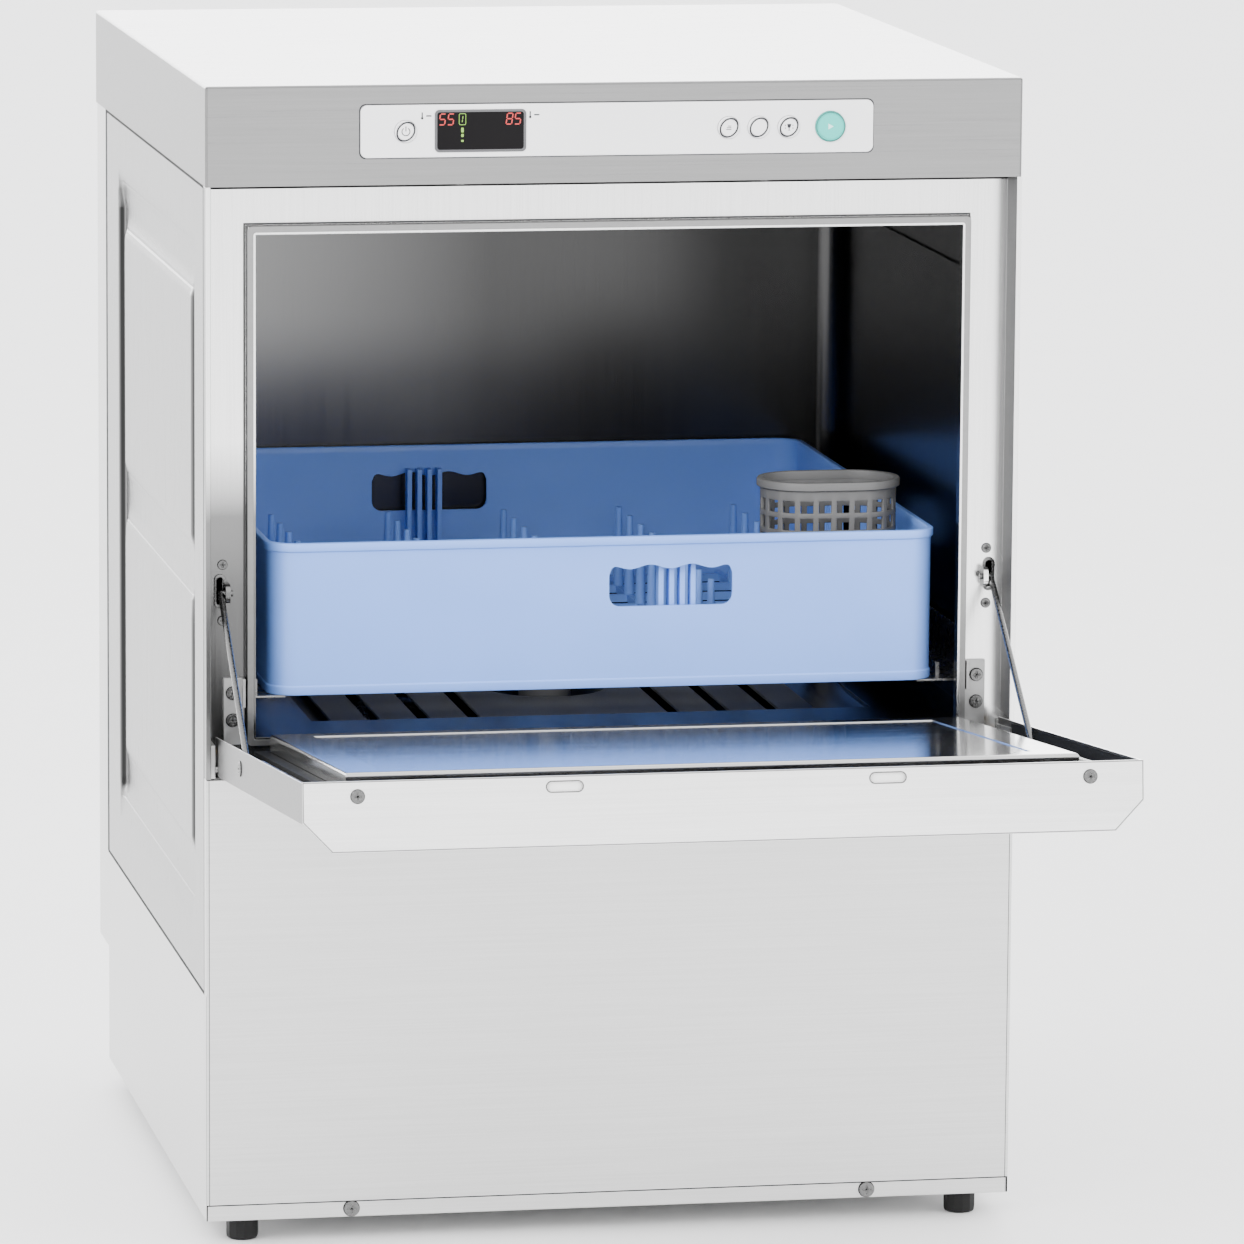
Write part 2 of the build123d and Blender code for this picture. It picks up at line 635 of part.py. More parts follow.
def door_screws():
    """Lip screws, the stay stop pins and the spring anchors."""
    solids = []
    for side in (-1, 1):
        head = Pos(side * 254, -DOOR_L - 1.0, 13) * Rot(90, 0, 0) * Cylinder(4.6, 1.6)
        cross = Pos(side * 254, -DOOR_L - 1.8, 13) * (Box(5.6, 1.4, 1.1) + Box(1.1, 1.4, 5.6))
        solids.append(in_door(head - cross))
        anchor = door_box(side * 272, side * (DOOR_X - 1), 405.5, 407, DOOR_N0 + 1, 18)
        anchor = anchor + door_box(side * 276.5, side * 279.5, 402, 405.5, 8.5, 11.5)
        solids.append(in_door(anchor))
    return solids


def hinge_brackets():
    """Pivot ears on the side flanges and the two plates screwed to the jambs."""
    ear = box(293.2, 296.4, 1.5, 27, 347.5, 372) - rod_x(290, 300, HINGE_D, HINGE_Z, PIN_R + PIN_CLEAR)
    plate = box(268.3, 283.5, 26, JAMB_D, 368, 417)
    hook = box(268.3, 270.3, 20, 26, 396, 417)
    return mirrored(ear) + mirrored(plate + hook)


def stay_lugs():
    """Eyes welded on the jambs, which the stay rods hang from."""
    lug = box(279.6, 283.2, 16.5, JAMB_D + 0.5, STAY_Z - 7, STAY_Z + 7)
    lug = fillet(lug.edges().filter_by(Axis.X).group_by(Axis.Y)[0], 5)
    lug = lug - rod_x(275, 290, STAY_D, STAY_Z, STAY_R + PIN_CLEAR)
    return mirrored(lug)


def stay_rod(side):
    """Stay rod: upper leg in the jamb eye, lower leg at the spring."""
    tilt = math.radians(DOOR_TILT)
    low_d = HINGE_D - STAY_END_L * math.cos(tilt) + STAY_END_N * math.sin(tilt)
    low_z = HINGE_Z + STAY_END_L * math.sin(tilt) + STAY_END_N * math.cos(tilt)
    top = Vector(STAY_X, depth(STAY_D), STAY_Z)
    low = Vector(STAY_X, depth(low_d), low_z)
    axis = low - top
    shaft = Plane(origin=(top + low) * 0.5, z_dir=axis.normalized()) * Cylinder(STAY_R, axis.length)
    rod = shaft + Pos(*top) * Sphere(STAY_R) + Pos(*low) * Sphere(STAY_R)
    rod = rod + rod_x(277.4, STAY_X, STAY_D, STAY_Z, STAY_R)
    rod = rod + rod_x(274.5, STAY_X, low_d, low_z, STAY_R)
    return rod if side > 0 else mirror(rod, about=Plane.YZ)


def spring(side):
    """Extension spring in the door's side channel."""
    l0 = STAY_END_L + STAY_R + 0.6
    length = SPRING_L1 - 2.6 - l0
    coil = Pos(side * SPRING_X, -(l0 + length / 2), STAY_END_N) * Rot(90, 0, 0)
    return in_door(coil * Cylinder(SPRING_R, length))


# ---------------------------------------------------------------------- rack
def hand_hole():
    """Hand hole beside the middle of a wall, as a cutter."""
    low = RACK_Z + HOLE_Z
    cut = box(HOLE_X - HOLE_W / 2, HOLE_X + HOLE_W / 2, -12, 12, low, low + HOLE_H)
    return fillet(cut.edges().filter_by(Axis.Y), 3)


def rack_shell():
    """Open square rack, 500 x 500 mm, with a hand hole in each wall."""
    def ring(size, radius, z0, z1, hole):
        outer = extrude(RectangleRounded(size, size, radius), z1 - z0)
        inner = extrude(RectangleRounded(size - 2 * hole, size - 2 * hole, radius - 2), z1 - z0)
        return Pos(0, depth(RACK_D + RACK / 2), z0) * (outer - inner)

    top = RACK_Z + RACK_H
    shell = ring(RACK - 4, RACK_R, RACK_Z, top, RACK_WALL)
    shell = shell + ring(RACK, RACK_R + 2, top - 5, top, 5) + ring(RACK - 2, RACK_R + 1, RACK_Z, RACK_Z + 7, 4)
    centre = Pos(0, depth(RACK_D + RACK / 2), 0)
    to_front = Pos(0, -depth(0), 0)
    for k in range(4):
        cutter = Pos(0, -RACK / 2, 0) * to_front * hand_hole()
        shell = shell - centre * Rot(0, 0, 90 * k) * cutter
    straight = RACK / 2 - RACK_R - 6
    hole_low, hole_high = HOLE_X - HOLE_W / 2, HOLE_X + HOLE_W / 2
    hole_mid = RACK_Z + HOLE_Z + HOLE_H / 2
    spans = (
        (-RACK / 2, -straight, RACK_Z, top),
        (-straight, hole_low, RACK_Z, top),
        (hole_low, hole_high, RACK_Z, hole_mid),
        (hole_low, hole_high, hole_mid, top),
        (hole_high, straight, RACK_Z, top),
    )
    deep = RACK / 2 - straight
    solids = []
    for k in range(4):
        for x0, x1, z0, z1 in spans:
            block = Pos((x0 + x1) / 2, -RACK / 2 + deep / 2, (z0 + z1) / 2) * Box(x1 - x0, deep, z1 - z0)
            solids.append(shell & centre * Rot(0, 0, 90 * k) * block)
    return solids


def rack_floor():
    """Open grid floor, its rows of plate pegs and the fins behind each hand hole."""
    half = RACK / 2 - 6.5
    mid = RACK_D + RACK / 2
    low = RACK_Z + 0.6
    top = low + 6
    grid = None
    for i in range(-5, 6):
        bar = box(i * PITCH - 2, i * PITCH + 2, mid - half, mid + half, low, top)
        cross = box(-half, half, mid + i * PITCH - 2, mid + i * PITCH + 2, low, top)
        grid = bar + cross if grid is None else grid + bar + cross
    upright = (Align.CENTER, Align.CENTER, Align.MIN)
    solids = [grid]
    for i in range(-4, 5):
        for k in range(-2, 3):
            beside_cup = k == 2 and i <= -2
            if not beside_cup:
                peg = Cone(4.2, 2.4, PEG_H, align=upright)
                solids.append(Pos(2 * k * PITCH, depth(mid + i * PITCH), top) * peg)
    for turn in range(4):
        for x in FIN_X:
            fin = Pos(x, -half + 7.5, top) * Box(3.6, 11, FIN_H, align=upright)
            solids.append(Pos(0, depth(mid), 0) * Rot(0, 0, 90 * turn) * fin)
    return solids


def cutlery_cup():
    """Oval cutlery holder with a thicker rim."""
    z0 = RACK_Z + 7.2
    centre = Pos(CUP_X, depth(RACK_D + CUP_D), z0)
    radius = CUP_DEEP / 2 - 0.5
    cup = extrude(RectangleRounded(CUP_W - 6, CUP_DEEP - 6, radius - 3), CUP_H)
    cup = cup - Pos(0, 0, 2.4) * extrude(
        RectangleRounded(CUP_W - 11, CUP_DEEP - 11, radius - 5.5), CUP_H)
    rim = extrude(RectangleRounded(CUP_W, CUP_DEEP, radius), 5)
    rim = rim - extrude(RectangleRounded(CUP_W - 11, CUP_DEEP - 11, radius - 5.5), 5)
    return centre * (cup + Pos(0, 0, CUP_H - 5) * rim)


# ------------------------------------------------------------------- writing
def build():
    save("top_cover", top_cover())
    save("control_fascia", fascia())
    save("display_window", display_window())
    for name, (x, r) in BUTTONS.items():
        save(name, button(x, r))
    save("control_board", control_board())
    left = side_panel()
    save("side_panel_left", left)
    save("side_panel_right", mirror(left, about=Plane.YZ))
    save("base_body", base_body())
    save("lower_panel", lower_panel())
    save("back_panel", back_panel())
    save("rear_cover", rear_cover())
    save("front_frame", front_frame())
    save("catch_housings", catch_housings())
    save("catch_left", catch_ball(-CATCH_X))
    save("catch_right", catch_ball(CATCH_X))
    save("wash_chamber", wash_chamber())
    rail = rack_rail()
    save("rack_rails", mirrored(rail))
    save("sump", sump())
    save("sump_filter", sump_filter())
    save("hub_lower", hub_lower())
    save("hub_upper", hub_upper())
    save("wash_arm_lower", spray_arm(376, 384, 235, 34, 9.06, 6, True))
    save("rinse_arm_lower", spray_arm(387, 394, 225, 16, 9.06, 5, True))
    save("wash_arm_upper", spray_arm(739, 748, 235, 34, 9.06, 6, False))
    save("rinse_arm_upper", spray_arm(729, 736, 225, 16, 9.06, 5, False))
    save("wash_pump", wash_pump())
    save("pump_motor", pump_motor())
    save("pump_impeller", pump_impeller())
    save("wash_manifold", wash_manifold())
    save("tank_heater", tank_heater())
    save("rinse_boiler", rinse_boiler())
    save("boiler_heater", boiler_heater())
    save("rinse_hoses", [rinse_hoses(), rinse_feed()])
    save("inlet_valve", inlet_valve())
    save("drain_pump", drain_pump())
    save("drain_hoses", drain_hoses())
    save("cable_gland", cable_gland())
    save("detergent_pump", dosing_pump(250))
    save("rinse_aid_pump", dosing_pump(150))
    save("pressure_switch", pressure_switch())
    save("terminal_block", terminal_block())
    save("feet", feet())
    save("cabinet_screws", cabinet_screws())
    save("door_outer", door_outer())
    save("door_inner", door_inner())
    save("door_gasket", door_gasket())
    save("door_pins", door_pins())
    save("door_screws", door_screws())
    save("hinge_brackets", hinge_brackets())
    for name, side in (("left", -1), ("right", 1)):
        save(f"stay_{name}", stay_rod(side))
        save(f"spring_{name}", spring(side))
    save("rack_shell", rack_shell())
    save("rack_floor", rack_floor())
    save("cutlery_holder", cutlery_cup())


build()
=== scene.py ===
"""Looks of a front-loading glass washer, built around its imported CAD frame."""

import json
import math

import bmesh
import bpy
from mathutils import Matrix, Vector, geometry


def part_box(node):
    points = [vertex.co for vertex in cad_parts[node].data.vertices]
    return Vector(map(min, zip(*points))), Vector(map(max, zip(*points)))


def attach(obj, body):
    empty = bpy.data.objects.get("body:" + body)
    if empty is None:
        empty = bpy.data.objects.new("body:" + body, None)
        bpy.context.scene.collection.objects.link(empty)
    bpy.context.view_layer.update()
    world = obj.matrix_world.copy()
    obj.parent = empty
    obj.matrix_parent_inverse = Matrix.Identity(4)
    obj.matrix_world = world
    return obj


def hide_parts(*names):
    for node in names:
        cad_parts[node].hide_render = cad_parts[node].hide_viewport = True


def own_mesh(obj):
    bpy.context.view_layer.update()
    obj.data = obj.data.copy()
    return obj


MM = 0.001
SIDES = (-1, 1)
UP = Vector((0, 0, 1))
FRONT = Vector((0, -1, 0))
BACK = Vector((0, 1, 0))

# Driving dimensions of the details, in metres. Places come from the frame.
SHEET = 1.2 * MM
DOOR_TILT = math.radians(5.8)
DOOR_ALONG = Vector((0, -math.cos(DOOR_TILT), math.sin(DOOR_TILT)))
DOOR_OFF = Vector((0, math.sin(DOOR_TILT), math.cos(DOOR_TILT)))
LIP_INSIDE = 420.2 * MM
LIP_MIDDLE = 16.0 * MM
PRINT = 0.10 * MM
SPRING_R = 5.2 * MM
SPRING_WIRE = 0.8 * MM
SPRING_TURNS = 62
RACK_SCALLOPS = 3
CUP_COLUMNS = 20
CUP_ROWS = 9

# The camera, fitted to the viewing angle: turned towards +X, tilted down.
CAMERA_PLACE = Vector((-1.0828, -6.01936, 1.40238))
CAMERA_YAW = math.radians(10.8064)
CAMERA_PITCH = math.radians(9.262)
CAMERA_ROLL = math.radians(0.3961)
CAMERA_LENS = 233.65

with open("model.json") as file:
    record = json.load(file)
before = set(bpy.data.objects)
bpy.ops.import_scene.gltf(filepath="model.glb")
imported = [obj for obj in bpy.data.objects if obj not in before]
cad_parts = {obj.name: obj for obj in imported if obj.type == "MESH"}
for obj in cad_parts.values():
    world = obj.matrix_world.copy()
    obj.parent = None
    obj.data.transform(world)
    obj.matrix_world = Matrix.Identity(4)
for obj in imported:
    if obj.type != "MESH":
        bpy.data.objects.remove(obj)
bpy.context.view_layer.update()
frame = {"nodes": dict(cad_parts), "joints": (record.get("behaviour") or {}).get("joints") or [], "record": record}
nodes = frame["nodes"]


# ---- materials
def principled(made):
    """The inputs of a material's Principled shader."""
    return made.node_tree.nodes["Principled BSDF"].inputs


def feed(made, value, socket):
    """Links an output to a socket, or sets the socket's constant."""
    if isinstance(value, bpy.types.NodeSocket):
        made.node_tree.links.new(value, socket)
    else:
        socket.default_value = value


def shader_node(made, kind, inputs, **settings):
    """A node whose inputs are constants or the outputs of other nodes."""
    node = made.node_tree.nodes.new(f"ShaderNode{kind}")
    for name, value in settings.items():
        setattr(node, name, value)
    for name, value in inputs.items():
        feed(made, value, node.inputs[name])
    return node


def calculate(made, operation, *values):
    """The result of one calculation on constants or outputs."""
    return shader_node(made, "Math", dict(enumerate(values)), operation=operation).outputs["Value"]


def new_material(name, colour, metallic=0.0, rough=0.4, specular=0.5, subsurface=0.0):
    """A Principled material."""
    made = bpy.data.materials.new(name)
    made.use_nodes = True
    values = {
        "Base Color": (*colour, 1),
        "Metallic": metallic,
        "Roughness": rough,
        "Specular IOR Level": specular,
        "Subsurface Weight": subsurface,
    }
    if subsurface:
        values.update({"Subsurface Radius": (0.6, 0.8, 1.0), "Subsurface Scale": 0.004})
    for key, value in values.items():
        principled(made)[key].default_value = value
    return made


def grain(made, stretch, detail=3.0):
    """Noise in the object's own metres, stretched along the grain."""
    place = shader_node(made, "TexCoord", {})
    scaled = shader_node(made, "Mapping", {"Vector": place.outputs["Object"], "Scale": stretch})
    look = {"Vector": scaled.outputs["Vector"], "Scale": 1.0, "Detail": detail, "Roughness": 0.55}
    return shader_node(made, "TexNoise", look).outputs["Fac"]


def ramp(made, value, low, high, start=0.3, end=0.7):
    """Goes from low to high while a value goes from start to end."""
    look = {"Value": value, "From Min": start, "From Max": end, "To Min": low, "To Max": high}
    return shader_node(made, "MapRange", look).outputs["Result"]


def tint(made, factor, dark, light):
    """Varies the base colour between two shades along a value from 0 to 1."""
    look = {"Factor": factor, "A": (*dark, 1), "B": (*light, 1)}
    mix = shader_node(made, "Mix", look, data_type="RGBA")
    feed(made, mix.outputs["Result"], principled(made)["Base Color"])


def bump(made, height, strength, distance, edge):
    """Surface relief; edge rounds the sheet's corners for the light."""
    soft = shader_node(made, "Bevel", {"Radius": edge}, samples=4)
    look = {"Strength": strength, "Distance": distance, "Height": height,
            "Normal": soft.outputs["Normal"]}
    feed(made, shader_node(made, "Bump", look).outputs["Normal"], principled(made)["Normal"])


def surface(made, kind, axis):
    """One component of the object's own position, or the size of one of its normal."""
    place = shader_node(made, "TexCoord", {})
    split = shader_node(made, "SeparateXYZ", {"Vector": place.outputs[kind]})
    part = split.outputs[axis]
    return part if kind == "Object" else calculate(made, "ABSOLUTE", part)


def shade_by(made, value, start, end, low, high):
    """Scales the base colour from low to high as a value goes from start to end, to paint light and shade into it.
    """
    base = principled(made)["Base Color"]
    look = {0: base.links[0].from_socket, "Scale": ramp(made, value, low, high, start, end)}
    feed(made, shader_node(made, "VectorMath", look, operation="SCALE").outputs["Vector"], base)


def lower_left_painted_reflection(made):
    """0 low on the left-hand side of the front, 1 elsewhere: where the jamb gets its painted reflection."""
    upper = ramp(made, surface(made, "Object", "Z"), 0.0, 1.0, 0.535, 0.590)
    right = ramp(made, surface(made, "Object", "X"), 0.0, 1.0, -0.05, 0.05)
    return calculate(made, "MAXIMUM", upper, right)


def steel(name, shade, rough, along, relief=0.10, spread=0.08, tone=(1.0, 1.0, 0.995)):
    """Brushed metal sheet, its grain along one axis."""
    made = new_material(name, (shade, shade, shade), 1.0, rough)
    fine = grain(made, along)
    cloud = grain(made, (3.0, 3.0, 3.0), 2.0)
    feed(made, ramp(made, fine, rough - spread, rough + spread), principled(made)["Roughness"])
    both = calculate(made, "ADD", ramp(made, fine, 0.0, 0.75), ramp(made, cloud, 0.0, 0.25))
    low, high = shade * 0.92, min(1.0, shade * 1.05)
    tint(made, both, [low * c for c in tone], [high * c for c in tone])
    bump(made, fine, relief, 0.12 * MM, 0.7 * MM)
    return made


def plastic(name, colour, rough=0.42, texture=900.0, relief=0.06, specular=0.5,
            subsurface=0.0, vary=0.06):
    """Moulded plastic with a fine texture and slight shade changes."""
    made = new_material(name, colour, 0.0, rough, specular, subsurface)
    cloud = grain(made, (9.0, 9.0, 9.0), 2.0)
    fine = grain(made, (texture, texture, texture), 2.0)
    dark = [c * (1 - vary) for c in colour]
    light = [min(1.0, c * (1 + vary)) for c in colour]
    tint(made, ramp(made, cloud, 0.0, 1.0), dark, light)
    feed(made, ramp(made, fine, rough - 0.06, rough + 0.06), principled(made)["Roughness"])
    bump(made, fine, relief, 0.1 * MM, 0.5 * MM)
    return made


def lamp(name, colour, strength):
    """Lit mark of the display, a little uneven along its bars."""
    made = new_material(name, [c * 0.2 for c in colour], 0.0, 0.5)
    uneven = grain(made, (600, 600, 600), 1.0)
    tint(made, uneven, [c * 0.16 for c in colour], [c * 0.24 for c in colour])
    principled(made)["Emission Strength"].default_value = strength
    principled(made)["Emission Color"].default_value = (*colour, 1)
    return made


ALONG_X = (9, 800, 800)
ALONG_Z = (800, 800, 9)
MATERIALS = {
    # The stainless sheets from here to the mouth share one steel, yet their base shades run from 0.085 to 0.95:
    # painted light and shade standing in for what each panel reflects; the chamber's 0.085 is painted shade inside
    # it.
    "steel_cover": steel("Steel_header", 0.262, 0.30, ALONG_X, relief=0.02, spread=0.03),
    "steel_panel": steel("Steel_panel", 0.62, 0.36, ALONG_X, relief=0.02, spread=0.03),
    "steel_side": steel("Steel_side", 0.235, 0.26, ALONG_Z, relief=0.02, spread=0.03),
    "steel_inner": steel("Steel_chamber", 0.085, 0.24, ALONG_Z, relief=0.01, spread=0.02),
    "steel_jamb": steel("Steel_jamb", 0.92, 0.20, ALONG_Z, relief=0.01, spread=0.02),
    "steel_lip": steel("Steel_lip", 0.95, 0.32, ALONG_X, relief=0.02, spread=0.03),
    "steel_pan": steel("Steel_door_pan", 0.55, 0.13, ALONG_X, relief=0.03, spread=0.04),
    "steel_bracket": steel("Steel_bracket", 0.42, 0.42, (120, 120, 120), relief=0.05),
    # Painted reflection: the grey outer part of the mouth flange's face.
    "mouth_reflection_steel": steel("Steel_mouth_reflection", 0.26, 0.34, (300, 300, 300), relief=0.02, spread=0.03),
    # Painted shade for the jambs' inner flange faces.
    "jamb_shade_grey": plastic("Jamb_shade_grey", (0.065, 0.065, 0.065), 0.5, relief=0.02, specular=0.15),
    # Painted shade along the header's bent edges and the lip's folds.
    "edge_shade_grey": plastic("Edge_shade_grey", (0.16, 0.16, 0.16), 0.5, relief=0.02, specular=0.2),
    "steel_part": steel("Steel_part", 0.34, 0.28, (120, 120, 120), relief=0.05),
    "fascia_plastic": plastic("Fascia_foil", (0.84, 0.84, 0.85), 0.38, relief=0.03, vary=0.02),
    "button_plastic": plastic("Button_foil", (0.84, 0.84, 0.85), 0.34, relief=0.03, vary=0.02),
    "start_plastic": plastic("Start_foil", (0.025, 0.50, 0.43), 0.34, relief=0.03, vary=0.03),
    "print_grey": plastic("Print_grey", (0.03, 0.03, 0.034), 0.5, relief=0.02, specular=0.15),
    "print_teal": plastic("Print_teal", (0.01, 0.14, 0.12), 0.45, relief=0.02),
    # Painted shade round the mouth flange.
    "mouth_shade_grey": plastic("Mouth_shade_grey", (0.06, 0.06, 0.06), 0.6, relief=0.02, specular=0.1),
    "bezel_grey": plastic("Bezel_grey", (0.10, 0.10, 0.105), 0.4, relief=0.02, specular=0.2),
    "print_pale": plastic("Print_pale", (0.55, 0.85, 0.80), 0.5, relief=0.02),
    "display_plastic": plastic("Display_pane", (0.006, 0.0055, 0.006), 0.20, relief=0.01,
                               specular=0.07),
    "board": plastic("Board_laminate", (0.03, 0.16, 0.07), 0.45),
    "black_plastic": plastic("Black_plastic", (0.010, 0.010, 0.010), 0.45, relief=0.10,
                             specular=0.15),
    # Black for painted shadows: the joints' gaps, the screws' rings and recesses, the door's hollow.
    "black_rubber": plastic("Painted_shadow_black", (0.007, 0.007, 0.007), 0.66, 500.0, 0.14,
                            specular=0.10),
    "blue_plastic": plastic("Rack_blue", (0.19, 0.36, 0.88), 0.40, 700.0, 0.04,
                            subsurface=0.12, vary=0.04),
    "grey_plastic": plastic("Cup_grey", (0.11, 0.11, 0.11), 0.48, 700.0, 0.10, specular=0.3),
    "white_plastic": plastic("White_plastic", (0.80, 0.80, 0.79), 0.45),
    "spring_steel": steel("Spring_wire", 0.50, 0.30, (260, 260, 260), relief=0.05),
    "screw_steel": steel("Screw_steel", 0.16, 0.26, (500, 500, 500), relief=0.06),
    "brass": steel("Brass_screw", 0.62, 0.30, (500, 500, 500), relief=0.05, tone=(1.0, 0.66, 0.24)),
    "motor_alloy": steel("Cast_alloy", 0.48, 0.50, (300, 300, 300), relief=0.25),
    "clear_hose": plastic("Dark_hose", (0.05, 0.05, 0.055), 0.45),
    "lit_red": lamp("Lit_red", (1.0, 0.07, 0.06), 0.9),
    "lit_green": lamp("Lit_green", (0.50, 1.0, 0.12), 0.55),
}
# Jamb darker low on its left-hand side: a painted reflection of the dark gap beside the door.
shade_by(MATERIALS["steel_jamb"], lower_left_painted_reflection(MATERIALS["steel_jamb"]), 0.0, 1.0, 0.20, 1.0)
# Painted light and shade, scaled into each finish's base colour by the object's position or the size of its
# normal:
for finish, kind, axis, *values in (
    # Side panels: steep slopes of the pressed fields darker, painted shade in the grooves.
    ("steel_side", "Normal", "X", 0.74, 0.992, 0.10, 1.0),
    # Door lip: faces turned to the sides darker, painted shade.
    ("steel_lip", "Normal", "X", 0.5, 0.8, 1.0, 0.10),
    # Brackets: darker above 0.44 m, painted shade to suit the jamb's painted reflection.
    ("steel_bracket", "Object", "Z", 0.42, 0.44, 1.0, 0.45),
    # Header: its side faces darker, painted shade.
    ("steel_cover", "Normal", "X", 0.5, 0.8, 1.0, 0.72),
    # Jambs: faces not turned to the front darker, painted shade.
    ("steel_jamb", "Normal", "Y", 0.5, 0.8, 0.12, 1.0),
    # Chamber: brighter on the left and darker towards the right, painted light.
    ("steel_inner", "Object", "X", -0.28, 0.0, 2.2, 0.66),
):
    shade_by(MATERIALS[finish], surface(MATERIALS[finish], kind, axis), *values)
NODE_FINISH = {
    "wash_chamber": "steel_inner",
    "front_frame": "steel_jamb",
    "door_outer": "steel_lip",
    "door_inner": "steel_pan",
    "hinge_brackets": "steel_bracket",
    "stay_left": "screw_steel",
    "stay_right": "screw_steel",
    "side_panel_left": "steel_side",
    "side_panel_right": "steel_side",
}


def finish_nodes():
    """Gives each CAD node the material of its slot, or its own finer one."""
    slots = {part["node"]: part["material_slot"] for part in frame["record"]["subparts"]}
    for name, node in nodes.items():
        node.data.materials.clear()
        node.data.materials.append(MATERIALS[NODE_FINISH.get(name, slots[name])])


# ---- helpers
def new_mesh(name, shape):
    """A mesh from vertices and faces."""
    vertices, faces = shape
    mesh = bpy.data.meshes.new(name)
    mesh.from_pydata([tuple(v) for v in vertices], [], faces)
    return mesh


def outward(mesh):
    """The mesh with its faces turned outwards."""
    work = bmesh.new()
    work.from_mesh(mesh)
    bmesh.ops.recalc_face_normals(work, faces=work.faces)
    work.to_mesh(mesh)
    work.free()
    return mesh


def piece(name, shape, finish, body, slot, sharp=40):
    """A piece from vertices and faces, smooth up to an angle, riding on a body."""
    return mesh_piece(name, new_mesh(name, shape), finish, body, slot, sharp)


def mesh_piece(name, mesh, finish, body, slot, sharp=40):
    """Turns a mesh into a finished piece on a body."""
    outward(mesh)
    mesh.shade_smooth()
    mesh.set_sharp_from_angle(angle=math.radians(sharp))
    mesh.materials.clear()
    mesh.materials.append(MATERIALS[finish])
    made = bpy.data.objects.new(name, mesh)
    bpy.context.scene.collection.objects.link(made)
    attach(made, body)
    return made


def with_modifiers(mesh, *settings):
    """The mesh after a chain of modifiers, each given as (type, {setting: value})."""
    holder = bpy.data.objects.new("holder", mesh)
    bpy.context.scene.collection.objects.link(holder)
    for kind, values in settings:
        modifier = holder.modifiers.new(kind, kind)
        for key, value in values.items():
            setattr(modifier, key, value)
    bpy.context.view_layer.update()
    ready = holder.evaluated_get(bpy.context.evaluated_depsgraph_get())
    result = bpy.data.meshes.new_from_object(ready)
    bpy.data.objects.remove(holder)
    return result


def islands(node):
    """(lowest corner, highest corner) of each loose part of a CAD node, left to right."""
    work = bmesh.new()
    work.from_mesh(nodes[node].data)
    bmesh.ops.remove_doubles(work, verts=work.verts, dist=1e-6)
    left = set(work.verts)
    found = []
    while left:
        queue = [left.pop()]
        group = []
        while queue:
            vertex = queue.pop()
            group.append(vertex.co.copy())
            for edge in vertex.link_edges:
                other = edge.other_vert(vertex)
                if other in left:
                    left.remove(other)
                    queue.append(other)
        low = Vector([min(p[i] for p in group) for i in range(3)])
        high = Vector([max(p[i] for p in group) for i in range(3)])
        found.append((low, high))
    work.free()
    return sorted(found, key=lambda pair: (round(pair[0].x, 4), pair[0].z))


HINGE = next(Vector(joint["pos_m"]) for joint in frame["joints"] if joint["name"] == "door_hinge")


def door_point(x, length, height):
    """Point in the door's own frame: along the door from its hinge, and off its skin."""
    return HINGE + Vector((x, 0, 0)) + DOOR_ALONG * length + DOOR_OFF * height


def frame_towards(axis, upward=UP):
    """Rotation whose local Z is the axis, with local Y as near to upward as can be."""
    z = axis.normalized()
    x = upward.cross(z)
    if x.length < 1e-6:
        x = Vector((1, 0, 0))
    x.normalize()
    y = z.cross(x)
    return Matrix((x, y, z)).transposed()


def bands(rows, count, closed=False):
    """Faces between rows of points that each go round; closed joins the last to the first."""
    faces = []
    for row in range(rows if closed else rows - 1):
        start, after = row * count, (row + 1) % rows * count
        for k in range(count):
            n = (k + 1) % count
            faces.append((start + k, start + n, after + n, after + k))
    return faces


def round_points(radius, steps):
    """Points round a circle."""
    angles = [math.tau * k / steps for k in range(steps)]
    return [(radius * math.cos(angle), radius * math.sin(angle)) for angle in angles]


def lathe(profile, place, axis, steps=40, upward=UP):
    """Vertices and faces of a turned shape; the profile is (radius, height along the axis)."""
    turn = frame_towards(axis, upward)
    vertices = [place + turn @ Vector((u, v, height))
                for radius, height in profile for u, v in round_points(radius, steps)]
    last = (len(profile) - 1) * steps
    caps = [tuple(range(steps)), tuple(range(last, last + steps))]
    return vertices, bands(len(profile), steps) + caps


def tube(points, radius, sides):
    """Vertices and faces of a round wire through close points."""
    vertices = []
    count = len(points)
    side = Vector((1, 0, 0))
    for i, point in enumerate(points):
        along = (points[min(i + 1, count - 1)] - points[max(i - 1, 0)]).normalized()
        side = (side - along * side.dot(along)).normalized()
        up = along.cross(side)
        vertices += [point + side * u + up * v for u, v in round_points(radius, sides)]
    caps = [tuple(range(sides)), tuple(range((count - 1) * sides, count * sides))]
    return vertices, bands(count, sides) + caps


def placed(outline, height, place, turn):
    """The points of an outline, (across, up), turned to their place at a height."""
    return [place + turn @ Vector((u, v, height)) for u, v in outline]


def slab(outline, place, axis, thick, upward=UP):
    """Vertices and faces of a flat shape with a thickness; the outline is (across, up)."""
    turn = frame_towards(axis, upward)
    count = len(outline)
    vertices = placed(outline, 0.0, place, turn) + placed(outline, thick, place, turn)
    caps = [tuple(range(count)), tuple(range(count, 2 * count))]
    return vertices, caps + bands(2, count)


def joined(*shapes):
    """Several (vertices, faces) as one."""
    vertices, faces = [], []
    for more, sides in shapes:
        start = len(vertices)
        vertices += list(more)
        faces += [tuple(i + start for i in side) for side in sides]
    return vertices, faces


